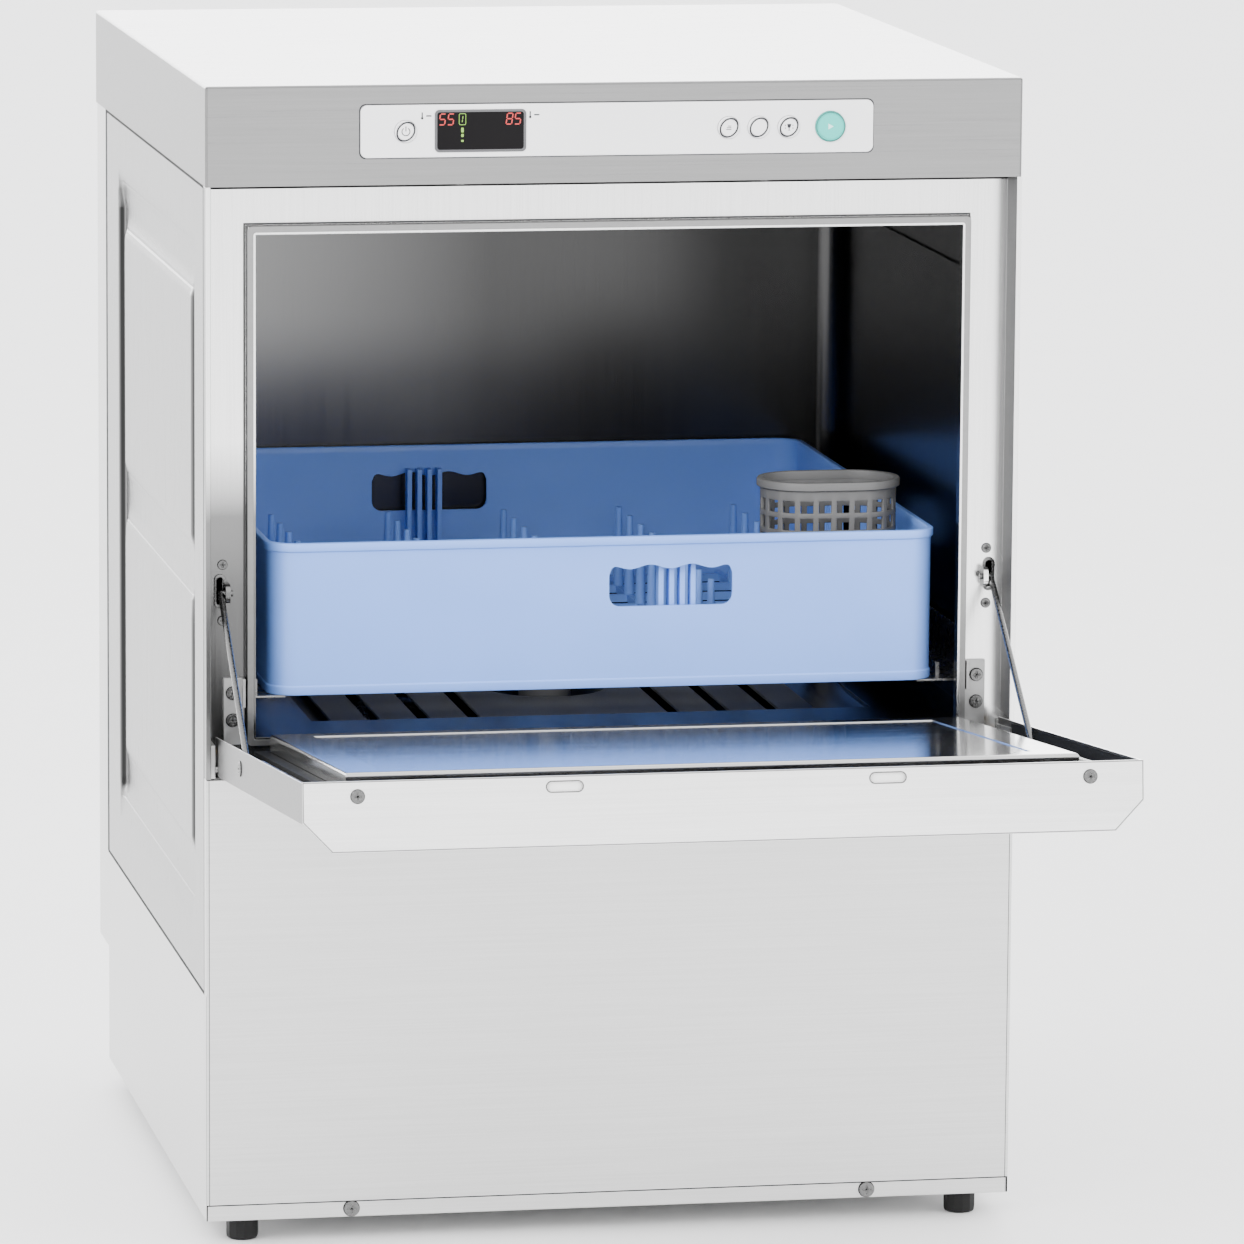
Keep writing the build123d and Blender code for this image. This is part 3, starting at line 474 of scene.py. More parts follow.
def rounded_outline(width, height, radius, steps=6):
    """Points round a rectangle with round corners, centred on zero."""
    points = []
    for turn, (sx, sy) in enumerate(((1, 1), (-1, 1), (-1, -1), (1, -1))):
        for k in range(steps + 1):
            angle = math.pi / 2 * (turn + k / steps)
            x = sx * (width / 2 - radius) + radius * math.cos(angle)
            y = sy * (height / 2 - radius) + radius * math.sin(angle)
            points.append((x, y))
    return points


def ring_band(outline, inner, place, axis, thick, upward=UP):
    """Flat band between two outlines of equal length."""
    turn = frame_towards(axis, upward)
    count = len(outline)
    vertices = []
    for points in (outline, inner):
        vertices += placed(points, 0.0, place, turn) + placed(points, thick, place, turn)
    faces = []
    for k in range(count):
        n = (k + 1) % count
        for a, b in ((1, 3), (0, 1), (2, 3), (0, 2)):
            faces.append((a * count + k, a * count + n, b * count + n, b * count + k))
    return vertices, faces


def middle_x(node):
    """The middle of a node's box, from left to right."""
    low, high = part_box(node)
    return (low.x + high.x) / 2


def block(x, y, z, point=lambda *spot: Vector(spot)):
    """Vertices and faces of a box given by three ranges; point places a corner."""
    vertices = [point(a, b, c) for c in z for b in y for a in x]
    faces = [(0, 1, 3, 2), (4, 5, 7, 6), (0, 1, 5, 4), (2, 3, 7, 6), (0, 2, 6, 4), (1, 3, 7, 5)]
    return vertices, faces


def both(x, y, z, point=lambda *spot: Vector(spot)):
    """The same box on the left and on the right."""
    return [block((side * x[0], side * x[1]), y, z, point) for side in SIDES]


# ---- side panels
def soft_step(distance, slope):
    """0 outside, 1 inside, with a rounded slope about distance zero."""
    t = min(max(0.5 - distance / slope, 0.0), 1.0)
    return t * t * (3 - 2 * t)


def field(y, z, span, radius, slope_y, slope_z):
    """How far a point is inside a pressed field with round corners."""
    y0, y1, z0, z1 = span
    dy = abs(y - (y0 + y1) / 2) - (y1 - y0) / 2 + radius
    dz = abs(z - (z0 + z1) / 2) - (z1 - z0) / 2 + radius
    distance = math.hypot(max(dy, 0), max(dz, 0)) + min(max(dy, dz), 0) - radius
    share = min(max(0.5 + (dy - dz) / 0.012, 0.0), 1.0)
    return soft_step(distance, slope_z + (slope_y - slope_z) * share)


def spaced(start, end, edges, coarse, fine, reach):
    """Grid lines from start to end, closer together near the edges."""
    lines = [start]
    while lines[-1] < end - 1e-9:
        near = any(abs(lines[-1] - edge) < reach for edge in edges)
        lines.append(min(end, lines[-1] + (fine if near else coarse)))
    return lines


def side_skin(name, node, side):
    """Pressed side panel: a sunk field that holds two raised ones."""
    low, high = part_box(node)
    front, back = low.y, high.y
    near_rim = 0.8 * MM
    outer = (front + 0.050, front + 0.481, low.z + 0.060, low.z + 0.543)
    upper = (front + 0.079, front + 0.462, low.z + 0.318, low.z + 0.508)
    lower = (front + 0.077, front + 0.462, low.z + 0.094, low.z + 0.282)
    edges_y = [e for span in (outer, upper, lower) for e in span[:2]]
    edges_z = [e for span in (outer, upper, lower) for e in span[2:]]
    ys = spaced(front, back, edges_y, 0.014, 0.0016, 0.014)
    zs = spaced(low.z, high.z, edges_z, 0.014, 0.0010, 0.0150)
    zs = sorted(zs + [low.z + near_rim, high.z - near_rim])
    ys = sorted(ys + [front + near_rim, back - near_rim])
    skin = side * max(abs(low.x), abs(high.x))
    fold = 2.2 * MM
    vertices = []
    for j, z in enumerate(zs):
        for i, y in enumerate(ys):
            sunk = 5.2 * MM * field(y, z, outer, 0.016, 0.0070, 0.0300)
            for raised in (upper, lower):
                sunk -= 3.4 * MM * field(y, z, raised, 0.006, 0.0050, 0.0260)
            creased = any(abs(z - edge) < 0.7 * MM and span[0] < y < span[1]
                          for span in (outer, upper, lower) for edge in span[2:])
            sunk += 0.45 * MM if creased else 0.0
            rim = i in (0, len(ys) - 1) or j in (0, len(zs) - 1)
            vertices.append((skin - side * (fold if rim else sunk), y, z))
    row = len(ys)
    faces = []
    for j in range(len(zs) - 1):
        for i in range(row - 1):
            a = j * row + i
            faces.append((a, a + 1, a + 1 + row, a + row))
    made = piece(name, (vertices, faces), "steel_side", "cabinet", "steel_panel", sharp=50)
    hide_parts(node)


# ---- control strip
def front_of(node):
    """The middle of a node's front face."""
    low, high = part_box(node)
    return Vector(((low.x + high.x) / 2, low.y, (low.z + high.z) / 2))


SEGMENTS = {"5": "afgcd", "8": "abcdefg", "1": "bc"}


def digit(place, char, height):
    """Seven-segment digit, slanted, its lit bars as thin bodies."""
    width = height * 0.52
    bar = height * 0.11
    half = height / 2
    spots = {
        "a": (0, half, True), "g": (0, 0, True), "d": (0, -half, True),
        "f": (-1, half / 2, False), "b": (1, half / 2, False),
        "e": (-1, -half / 2, False), "c": (1, -half / 2, False),
    }
    shapes = []
    for key in SEGMENTS[char]:
        side, up, level = spots[key]
        reach = (width if level else half) / 2 - bar * 0.25
        outline = []
        ends = ((-reach, 0), (-reach + bar / 2, bar / 2), (reach - bar / 2, bar / 2),
                (reach, 0), (reach - bar / 2, -bar / 2), (-reach + bar / 2, -bar / 2))
        for along, across in ends:
            u, v = (along, across) if level else (across, along)
            u += side * width / 2
            v += up
            outline.append((u + v * 0.14, v))
        shapes.append(slab(outline, place, FRONT, 0.12 * MM))
    return joined(*shapes)


def display_marks():
    """Two temperatures in red, the programme number and its bars in green."""
    low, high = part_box("display_window")
    pane = front_of("display_window")
    wide, tall = high.x - low.x, high.z - low.z
    top = pane.z + tall * 0.28
    size = tall * 0.26
    red = [digit(Vector((pane.x + wide * (start + 0.035 + k * 0.092), pane.y, top)), char, size)
           for start, text in ((-0.455, "55"), (0.285, "85")) for k, char in enumerate(text)]
    piece("display_temperatures", joined(*red), "lit_red", "cabinet", "display_plastic")
    x = pane.x - wide * 0.20
    border = (rounded_outline(0.0052, 0.0084, 0.0012), rounded_outline(0.0044, 0.0076, 0.0009))
    green = [digit(Vector((x - 0.0012, pane.y, top)), "1", size * 0.62),
             ring_band(*border, Vector((x, pane.y, top)), FRONT, PRINT)]
    for k, height in enumerate((0.0034, 0.0022, 0.0014)):
        spot = Vector((x, pane.y, top - tall * (0.26 + 0.13 * k)))
        green.append(slab(rounded_outline(0.0019, height, 0.0005), spot, FRONT, PRINT))
    piece("display_programme", joined(*green), "lit_green", "cabinet", "display_plastic")
    bezel = ring_band(rounded_outline(wide + 0.6 * MM, tall + 0.6 * MM, 3.2 * MM),
                      rounded_outline(wide - 3.0 * MM, tall - 3.0 * MM, 1.9 * MM),
                      pane - FRONT * 0.1 * MM, FRONT, 0.35 * MM)
    piece("display_bezel", bezel, "bezel_grey", "cabinet", "display_plastic")


def slanted_ring(place, radius, width, lean=0.22, narrow=0.94):
    """Printed ring of a key, a leaning oval."""
    outlines = [[(u * narrow + v * lean, v) for u, v in round_points(size, 56)]
                for size in (radius, radius - width)]
    return ring_band(*outlines, place, FRONT, PRINT)


def power_mark(place, radius):
    """Open circle with a stroke, the usual on and off sign."""
    angles = [math.radians(125 + 290 * k / 24) for k in range(25)]
    outer, inner = ([(size * math.cos(a), size * math.sin(a)) for a in angles]
                    for size in (radius, radius * 0.80))
    stroke = rounded_outline(radius * 0.20, radius * 1.15, radius * 0.09, 2)
    raised = place + UP * radius * 0.62
    return joined(slab(outer + inner[::-1], place, FRONT, PRINT),
                  slab(stroke, raised, FRONT, PRINT))


def plate_mark(place, size):
    """Two stacked plates as strokes."""
    shapes = []
    for k in (-1, 0, 1):
        stroke = rounded_outline(size * (1.5 - 0.3 * k), size * 0.24, size * 0.1, 2)
        spot = place + Vector((size * 0.12 * k, 0, size * 0.55 * k))
        shapes.append(slab(stroke, spot, FRONT, PRINT))
    return joined(*shapes)


def glass_mark(place, size):
    """A glass with spray drops on both sides."""
    bowl = [(-0.55, 0.8), (0.55, 0.8), (0.38, -0.05), (0.09, -0.25), (0.09, -0.75),
            (0.42, -0.9), (-0.42, -0.9), (-0.09, -0.75), (-0.09, -0.25), (-0.38, -0.05)]
    shapes = [slab([(u * size, v * size) for u, v in bowl], place, FRONT, PRINT)]
    for side in SIDES:
        for v in (-0.3, 0.45):
            drop = rounded_outline(size * 0.22, size * 0.36, size * 0.1, 3)
            spot = place + Vector((side * size, 0, v * size))
            shapes.append(slab(drop, spot, FRONT, PRINT))
    return joined(*shapes)


def thermometer_mark(place, size):
    """A small thermometer."""
    stem = rounded_outline(size * 0.34, size * 1.6, size * 0.16, 3)
    bulb = round_points(size * 0.34, 16)
    low = place - UP * size * 0.75
    return joined(slab(stem, place, FRONT, 0.08 * MM), slab(bulb, low, FRONT, 0.09 * MM))


def start_mark(place, size):
    """A triangle that points right."""
    outline = [(-0.5 * size, 0.62 * size), (0.62 * size, 0.0), (-0.5 * size, -0.62 * size)]
    return slab(outline, place, FRONT, PRINT)


def control_marks():
    """Printed rings and signs on the keys and beside the display."""
    keys = {
        "power_button": ("power_key", power_mark, 0.0032),
        "cycle_button_1": ("cycle_key_1", plate_mark, 0.0022),
        "cycle_button_2": ("cycle_key_2", None, 0.0),
        "cycle_button_3": ("cycle_key_3", glass_mark, 0.0028),
    }
    for node, (body, sign, size) in keys.items():
        place = front_of(node) + FRONT * 0.02 * MM
        low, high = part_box(node)
        radius = (high.x - low.x) / 2 - 1.92 * MM
        shapes = [slanted_ring(place, radius, 1.25 * MM)]
        if sign:
            shapes.append(sign(place, size))
        piece(f"{node}_print", joined(*shapes), "print_grey", body, "button_plastic")
    start = front_of("start_button")
    arrow = start_mark(start + FRONT * 0.02 * MM, 0.0036)
    piece("start_button_print", arrow, "print_pale", "start_key", "start_plastic")
    low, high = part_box("display_window")
    plate = front_of("control_fascia")
    shapes = []
    for x in (low.x - 0.0095, high.x + 0.0032):
        spot = Vector((x, plate.y, high.z - 0.0035))
        shapes.append(thermometer_mark(spot, 0.0028))
        stroke = rounded_outline(0.0040, 0.0010, 0.0004, 2)
        shapes.append(slab(stroke, spot + Vector((0.0048, 0, -0.0005)), FRONT, 0.08 * MM))
    piece("display_signs", joined(*shapes), "print_grey", "cabinet", "fascia_plastic")
    # A black ring round the control fascia paints the shadow in the gap round it.
    low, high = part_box("control_fascia")
    wide, tall = high.x - low.x, high.z - low.z
    outer = rounded_outline(wide + 1.6 * MM, tall + 1.6 * MM, 4.6 * MM)
    inner = rounded_outline(wide - 0.2 * MM, tall - 0.2 * MM, 3.8 * MM)
    base = Vector((plate.x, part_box("top_cover")[0].y + 0.05 * MM, plate.z))
    seam = ring_band(outer, inner, base, FRONT, 0.35 * MM)
    piece("fascia_seam_shadow", seam, "print_grey", "cabinet", "black_plastic")
    low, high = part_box("start_button")
    radius = (high.x - low.x) / 2 - 1.35 * MM
    rim = slanted_ring(start + FRONT * 0.01 * MM, radius, 0.8 * MM, 0.0, 1.0)
    piece("start_button_rim", rim, "print_teal", "start_key", "start_plastic")


# ---- screws
def screw_head(place, axis, radius, height):
    """Pan head with a cross recess, as a round grid that the cross sinks into."""
    turn = frame_towards(axis)
    steps, rings = 48, 14
    vertices = []
    for ring in range(rings + 1):
        share = ring / rings
        for u, v in round_points(radius * share, steps):
            top = height * (1 - 0.45 * share ** 3)
            if min(abs(u), abs(v)) < radius * 0.13 and max(abs(u), abs(v)) < radius * 0.62:
                top -= height * 0.5 * (1 - share * 0.6)
            vertices.append(place + turn @ Vector((u, v, top)))
    vertices += placed(round_points(radius, steps), 0, place, turn)
    return vertices, bands(rings + 2, steps)


def screw_shadows(place, axis, radius, height):
    """Dark ring round a screw head and the dark floor of its cross recess: painted shadow."""
    outer = round_points(1.09 * radius, 40)
    inner = [(u * 0.84, v * 0.84) for u, v in outer]
    floor = place + axis.normalized() * height * 0.52
    long, narrow = radius * 1.16, radius * 0.25
    bars = [slab(rounded_outline(u, v, narrow * 0.4, 2), floor, axis, 0.05 * MM)
            for u, v in ((long, narrow), (narrow, long))]
    return joined(ring_band(outer, inner, place, axis, height * 0.22), *bars)


def screws(name, body, spots):
    """Heads and their painted shadows, each spot given as place, axis, radius and height."""
    for part, shape, finish in (("heads", screw_head, "screw_steel"),
                                ("marks", screw_shadows, "black_rubber")):
        shapes = joined(*[shape(*spot) for spot in spots])
        piece(f"{name}_{part}", shapes, finish, body, "screw_steel", sharp=30)


def all_screws():
    """Cross-recess heads over the CAD heads of the jambs, plinth, door lip and back."""
    spots = []
    for low, high in islands("cabinet_screws"):
        radius = (high.x - low.x) / 2
        if radius > 2 * MM:
            middle = (low + high) / 2
            base = Vector((middle.x, high.y, middle.z))
            spots.append((base, FRONT, radius + 0.05 * MM, high.y - low.y + 0.15 * MM))
    screws("cabinet_screw", "cabinet", spots)
    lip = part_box("door_outer")[0].y + 10 * MM
    screws("lip_screw", "door", [
        ((low + high) / 2 - DOOR_ALONG * 0.7 * MM, DOOR_ALONG, 4.65 * MM, 1.7 * MM)
        for low, high in islands("door_screws") if high.x - low.x < 11 * MM and low.y < lip])
    low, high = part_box("rear_cover")
    screws("rear_screw", "cabinet", [
        (Vector((x, high.y, low.z + (high.z - low.z) * share)), BACK, 4.2 * MM, 1.6 * MM)
        for x in (low.x + 12 * MM, 0.0, high.x - 12 * MM) for share in (0.02, 0.5, 0.98)])
    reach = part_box("door_outer")[1].x
    screws("door_side_screw", "door", [
        (door_point(side * reach, 0.1246, 0.0100), Vector((side, 0, 0)), 5.2 * MM, 1.6 * MM)
        for side in SIDES])


# ---- jamb details
def bevelled(name, shapes, width):
    """Several shapes as one mesh with softened edges."""
    soften = {"width": width, "segments": 2, "limit_method": "ANGLE"}
    return with_modifiers(new_mesh(name, joined(*shapes)), ("BEVEL", soften))


def slot_rims():
    """Raised rims round the jamb slots that the stay rods hook into."""
    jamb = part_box("front_frame")[1].y - SHEET
    outer = rounded_outline(0.0088, 0.0250, 0.0043)
    inner = rounded_outline(0.0056, 0.0208, 0.0027)
    shapes = []
    for side, node in zip(SIDES, ("stay_left", "stay_right")):
        middle = Vector((side * 0.2859, jamb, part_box(node)[1].z - 0.0015))
        shapes.append(ring_band(outer, inner, middle, FRONT, 1.3 * MM))
    mesh = bevelled("slot_rims", shapes, 0.5 * MM)
    mesh_piece("jamb_slot_rims", mesh, "screw_steel", "cabinet", "steel_part")


def lip_slots(length):
    """The middles of the two catch slots of the door's lip, at a length along the door."""
    return [door_point(middle_x(node), length, LIP_MIDDLE)
            for node in ("catch_left", "catch_right")]


def lip_slot_rims():
    """Pressed rims round the two catch slots in the door's lip, in dark steel: painted shade along the rims."""
    outer = rounded_outline(0.0264, 0.0084, 0.0041)
    inner = rounded_outline(0.0246, 0.0066, 0.0032)
    shapes = [ring_band(outer, inner, place, DOOR_ALONG, 0.35 * MM, DOOR_OFF)
              for place in lip_slots(0.4220)]
    mesh = bevelled("lip_slot_rims", shapes, 0.1 * MM)
    mesh_piece("lip_slot_rims", mesh, "screw_steel", "door", "steel_panel")


def seams():
    """Black strips at the joints between the header, the side panels, the jambs and the rear cover: painted shadow
    in the gaps.
    """
    side_low, side_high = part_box("side_panel_right")
    cover_low, cover_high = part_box("top_cover")
    frame_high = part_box("front_frame")[1]
    low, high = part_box("lower_panel")
    front, back, skin = side_low.y, side_high.y, side_high.x
    edge, face = cover_low.z, low.y
    rail = frame_high.y - SHEET
    reach = frame_high.x - 3.3 * MM
    flank = (skin - 0.8 * MM, skin + 0.12 * MM)
    plinth = high.x - 2.3 * MM
    shapes = [
        *both(flank, (front, back), (edge - 1.7 * MM, edge + 0.3 * MM)),
        *both(flank, (front, back), (side_low.z - 1.0 * MM, side_low.z + 1.5 * MM)),
        *both(flank, (back - 6.0 * MM, back + 2.2 * MM), (side_low.z, edge)),
        *both(flank, (front - 0.5 * MM, front + 0.6 * MM), (side_low.z, edge)),
        block((-reach, reach), (rail - 0.12 * MM, rail), (edge - 4.5 * MM, edge - 0.05 * MM)),
        block((low.x, high.x), (face - 0.08 * MM, face + 1.2 * MM),
              (low.z - 0.5 * MM, low.z + 0.35 * MM)),
        *both((plinth, plinth + 0.5 * MM), (face - 0.06 * MM, face + 0.2 * MM), (low.z, high.z)),
        *both(flank, (face + 0.3 * MM, face + 0.9 * MM), (low.z - 11.5 * MM, side_low.z)),
    ]
    piece("cabinet_seam_shadows", joined(*shapes), "black_rubber", "cabinet", "black_plastic")
    # Grey strips along the header's top front edge and its front corners: painted shade on the bent edges.
    corner, top = cover_high.x - 1.0 * MM, cover_high.z
    deep = (cover_low.y - 0.06 * MM, cover_low.y + 0.6 * MM)
    shapes = [
        block((-corner, corner), deep, (top - 1.5 * MM, top - 0.8 * MM)),
        *both((corner - 0.6 * MM, corner), deep, (edge + 0.5 * MM, top - 0.8 * MM)),
    ]
    piece("header_edges", joined(*shapes), "edge_shade_grey", "cabinet", "black_plastic")


def inset(points, distance):
    """A convex outline moved inwards by a distance."""
    count = len(points)
    middle = Vector((sum(u for u, _ in points) / count, sum(v for _, v in points) / count))
    lines = []
    for k in range(count):
        start, end = Vector(points[k]), Vector(points[(k + 1) % count])
        across = (end - start).orthogonal().normalized()
        if across.dot(middle - start) < 0:
            across = -across
        lines.append((start + across * distance, end + across * distance))
    moved = []
    for k in range(count):
        (a, b), (c, d) = lines[k - 1], lines[k]
        moved.append(tuple(geometry.intersect_line_line_2d(a, a + (b - a) * 2, c - (d - c), d)
                           or a + (b - a)))
    return moved


def lip_edges():
    """Grey line along the folded edges of the door's lip: painted shade on the folds."""
    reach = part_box("door_outer")[1].x
    bend, hem, slant, rim = -4.0 * MM, -25.0 * MM, 20 * MM, 23.5 * MM
    outline = [(-reach, rim), (reach, rim), (reach, bend), (reach - slant, hem),
               (slant - reach, hem), (-reach, bend)]
    line = ring_band(inset(outline, 0.3 * MM), inset(outline, 1.0 * MM),
                     door_point(0, 0.42216, 0.0), DOOR_ALONG, 0.10 * MM, DOOR_OFF)
    piece("lip_edges", line, "edge_shade_grey", "door", "steel_panel")


def door_cavity():
    """Black sheets in the hollow between the door's skin and its inner pan: painted shade."""
    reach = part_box("door_outer")[1].x - 1.5 * MM
    thin = 0.25 * MM
    floor = -3.5 * MM
    base = floor + 0.2 * MM
    across = (-reach, reach)
    shapes = [
        block(across, (0.030, LIP_INSIDE), (floor, floor + thin), door_point),
        *both((reach - thin, reach), (0.040, LIP_INSIDE), (base, 0.0212), door_point),
        block(across, (LIP_INSIDE - thin, LIP_INSIDE), (base, 0.0218), door_point),
    ]
    piece("door_cavity_shadow", joined(*shapes), "black_rubber", "door", "black_plastic")


def lip_dishes():
    """Light pressed bottoms inside the two catch slots of the lip."""
    outline = rounded_outline(0.0262, 0.0086, 0.0042)
    shapes = [slab(outline, place, DOOR_ALONG, 0.3 * MM, DOOR_OFF)
              for place in lip_slots(LIP_INSIDE + 0.05 * MM)]
    piece("lip_slot_bottoms", joined(*shapes), "white_plastic", "door", "white_plastic")


def mouth_line():
    """Dark line round the raised flange of the chamber's mouth, on the jamb: painted shade of the flange's side
    faces.
    """
    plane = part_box("front_frame")[1].y - SHEET
    deep = (plane - 0.25 * MM, plane)
    half, top, band = 0.2673, 0.7473, 1.3 * MM
    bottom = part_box("lower_panel")[1].z + 12 * MM
    shapes = [*both((half, half + band), deep, (bottom, top + band)),
              block((-half, half), deep, (top, top + band))]
    piece("mouth_shade_line", joined(*shapes), "mouth_shade_grey", "cabinet", "black_rubber")


def mouth_painted_reflection():
    """Grey outer part of the mouth flange's front face, a painted reflection; its inner edge stays bright."""
    wide, tall, low_z, strip = 0.5340, 0.3790, 0.3680, 8.8 * MM
    outer = rounded_outline(wide, tall, 0.003, 3)
    inner = rounded_outline(wide - strip, tall - strip, 0.002, 3)
    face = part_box("front_frame")[0].y + 0.0190 + 0.00005
    place = Vector((0, face, low_z + tall / 2))
    trim = ring_band(outer, inner, place, FRONT, 0.12 * MM)
    piece("mouth_painted_reflection", trim, "mouth_reflection_steel", "cabinet", "steel_panel")


def jamb_shade_strips():
    """Dark strips along the inner side of the cabinet's front edges: painted shade."""
    low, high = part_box("front_frame")
    strips = both((0.29625, 0.29652), (low.y + 0.6 * MM, high.y - 1.4 * MM),
                  (HINGE.z + 24 * MM, high.z - 0.6 * MM))
    piece("jamb_side_shade_strips", joined(*strips), "jamb_shade_grey", "cabinet", "steel_panel")


def catch_rollers():
    """Thin rounded noses of the two catches, just below the header's edge."""
    profile = [(7.6, -2.0), (8.6, -1.9), (9.0, -1.4), (9.0, 1.4), (8.6, 1.9), (7.6, 2.0)]
    turned = [(r * MM, h * MM) for r, h in profile]
    for node, body in (("catch_left", "latch_left"), ("catch_right", "latch_right")):
        low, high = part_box(node)
        middle = Vector((middle_x(node), (low.y + high.y) / 2, low.z + 9.0 * MM))
        nose = lathe(turned, middle, FRONT, 48)
        piece(f"{node}_nose", nose, "screw_steel", body, "steel_part", sharp=30)


def pocket_screws():
    """Small brass screws in the narrow pockets between the jambs and the door."""
    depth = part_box("front_frame")[0].y + 20 * MM
    spots = [Vector((side * 0.2941, depth, HINGE.z + 10 * MM)) for side in SIDES]
    shapes = [screw_head(spot, FRONT, 2.1 * MM, 3.0 * MM) for spot in spots]
    piece("pocket_screw_heads", joined(*shapes), "brass", "cabinet", "screw_steel", sharp=30)


# ---- springs
def spring_coil(side_name):
    """Extension spring as a real coil, riding on the door."""
    node = f"spring_{side_name}"
    x = middle_x(node)
    start, end, lift = 0.12585, 0.4014, 0.0100
    turn_steps = 10
    steps = SPRING_TURNS * turn_steps
    points = []
    for k in range(steps + 1):
        angle = math.tau * k / turn_steps
        length = start + (end - start) * k / steps
        across, up = SPRING_R * math.cos(angle), SPRING_R * math.sin(angle)
        points.append(door_point(x + across, length, lift + up))
    wire = tube(points, SPRING_WIRE, 6)
    made = piece(f"{node}_coil", wire, "spring_steel", "door", "spring_steel", sharp=60)
    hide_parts(node)
    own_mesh(made)


# ---- rack
def square_ring(centre, half, radius, z, steps):
    """Points round a rounded square, at one height."""
    points = []
    for quarter in range(4):
        for k in range(steps + 1):
            angle = math.pi / 2 * (quarter + k / steps)
            sx = 1 if quarter in (0, 3) else -1
            sy = 1 if quarter in (0, 1) else -1
            x = sx * (half - radius) + radius * math.cos(angle)
            y = sy * (half - radius) + radius * math.sin(angle)
            points.append(Vector((centre.x + x, centre.y + y, z)))
    return points


def hole_cutter(centre, half, low, turn):
    """Prism through one rack wall, flat below and scalloped above."""
    across, width, base, top, corner = 0.049, 0.092, 0.060, 0.0875, 0.008
    wave, shoulder, steps = 0.0016, 0.007, 48
    outline = []
    for side, quarter in ((-1, 2), (1, 3)):
        for k in range(7):
            angle = math.pi / 2 * (quarter + k / 6)
            outline.append((side * (width / 2 - corner) + corner * math.cos(angle),
                            base + corner + corner * math.sin(angle)))
    for k in range(steps + 1):
        share = 1 - k / steps
        edge = min(share, 1 - share) * width
        drop = shoulder * (1 - math.sqrt(max(0.0, 1 - (1 - min(edge / shoulder, 1.0)) ** 2)))
        scallop = wave * math.cos(math.tau * RACK_SCALLOPS * share)
        outline.append((width * (share - 0.5), top + wave + scallop - drop))
    vertices, faces = slab(outline, Vector((across, -half - 0.02, low)), BACK, 0.05)
    flipped = [Vector((2 * across - v.x, v.y, v.z)) for v in vertices]
    spin = Matrix.Rotation(turn * math.pi / 2, 3, "Z")
    return [centre + spin @ v for v in flipped], faces


def rack_shell():
    """Injection-moulded rack: tapered walls, a stiff rim and four hand holes."""
    low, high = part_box("rack_shell")
    centre = Vector(((low.x + high.x) / 2, (low.y + high.y) / 2, 0))
    half = (high.x - low.x) / 2
    z0, z1 = low.z, high.z
    radius = 0.022
    profile = [
        (2.4, z0), (5.0, z0), (5.4, z0 + 0.001), (5.4, z0 + 0.006), (4.9, z0 + 0.008),
        (4.6, z1 - 0.009), (4.9, z1 - 0.006), (5.0, z1 - 0.0012), (4.2, z1), (0.9, z1),
        (0.25, z1 - 0.0004), (0.0, z1 - 0.0012), (0.0, z1 - 0.0052), (0.3, z1 - 0.006),
        (1.5, z1 - 0.0068), (1.8, z1 - 0.009), (2.1, z0 + 0.007), (1.3, z0 + 0.006),
        (1.2, z0 + 0.001), (1.6, z0),
    ]
    vertices = []
    steps = 10
    for depth, z in profile:
        inward = depth * MM
        vertices += square_ring(centre, half - inward, radius - inward * 0.8, z, steps)
    faces = bands(len(profile), 4 * (steps + 1), closed=True)
    mesh = outward(new_mesh("rack_body", (vertices, faces)))
    cutters = joined(*[hole_cutter(centre, half, z0, turn) for turn in range(4)])
    tool = bpy.data.objects.new("rack_holes", outward(new_mesh("rack_holes", cutters)))
    bpy.context.scene.collection.objects.link(tool)
    cut = {"operation": "DIFFERENCE", "object": tool, "solver": "EXACT"}
    mesh = with_modifiers(mesh, ("BOOLEAN", cut))
    bpy.data.objects.remove(tool)
    made = mesh_piece("rack_body", mesh, "blue_plastic", "rack", "blue_plastic", sharp=35)
    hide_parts("rack_shell")


# ---- cutlery cup
def oval_point(centre, straight, radius, share, z):
    """Point on an oval with two straight sides, share from 0 to 1 round it."""
    half = 2 * straight + math.pi * radius
    turned, s = divmod((share % 1.0) * 2 * half, half)
    sign = -1 if turned else 1
    u, v = s - straight, -radius
    if s >= 2 * straight:
        angle = -math.pi / 2 + (s - 2 * straight) / radius
        u, v = straight + radius * math.cos(angle), radius * math.sin(angle)
    return centre + Vector((sign * u, sign * v, z))


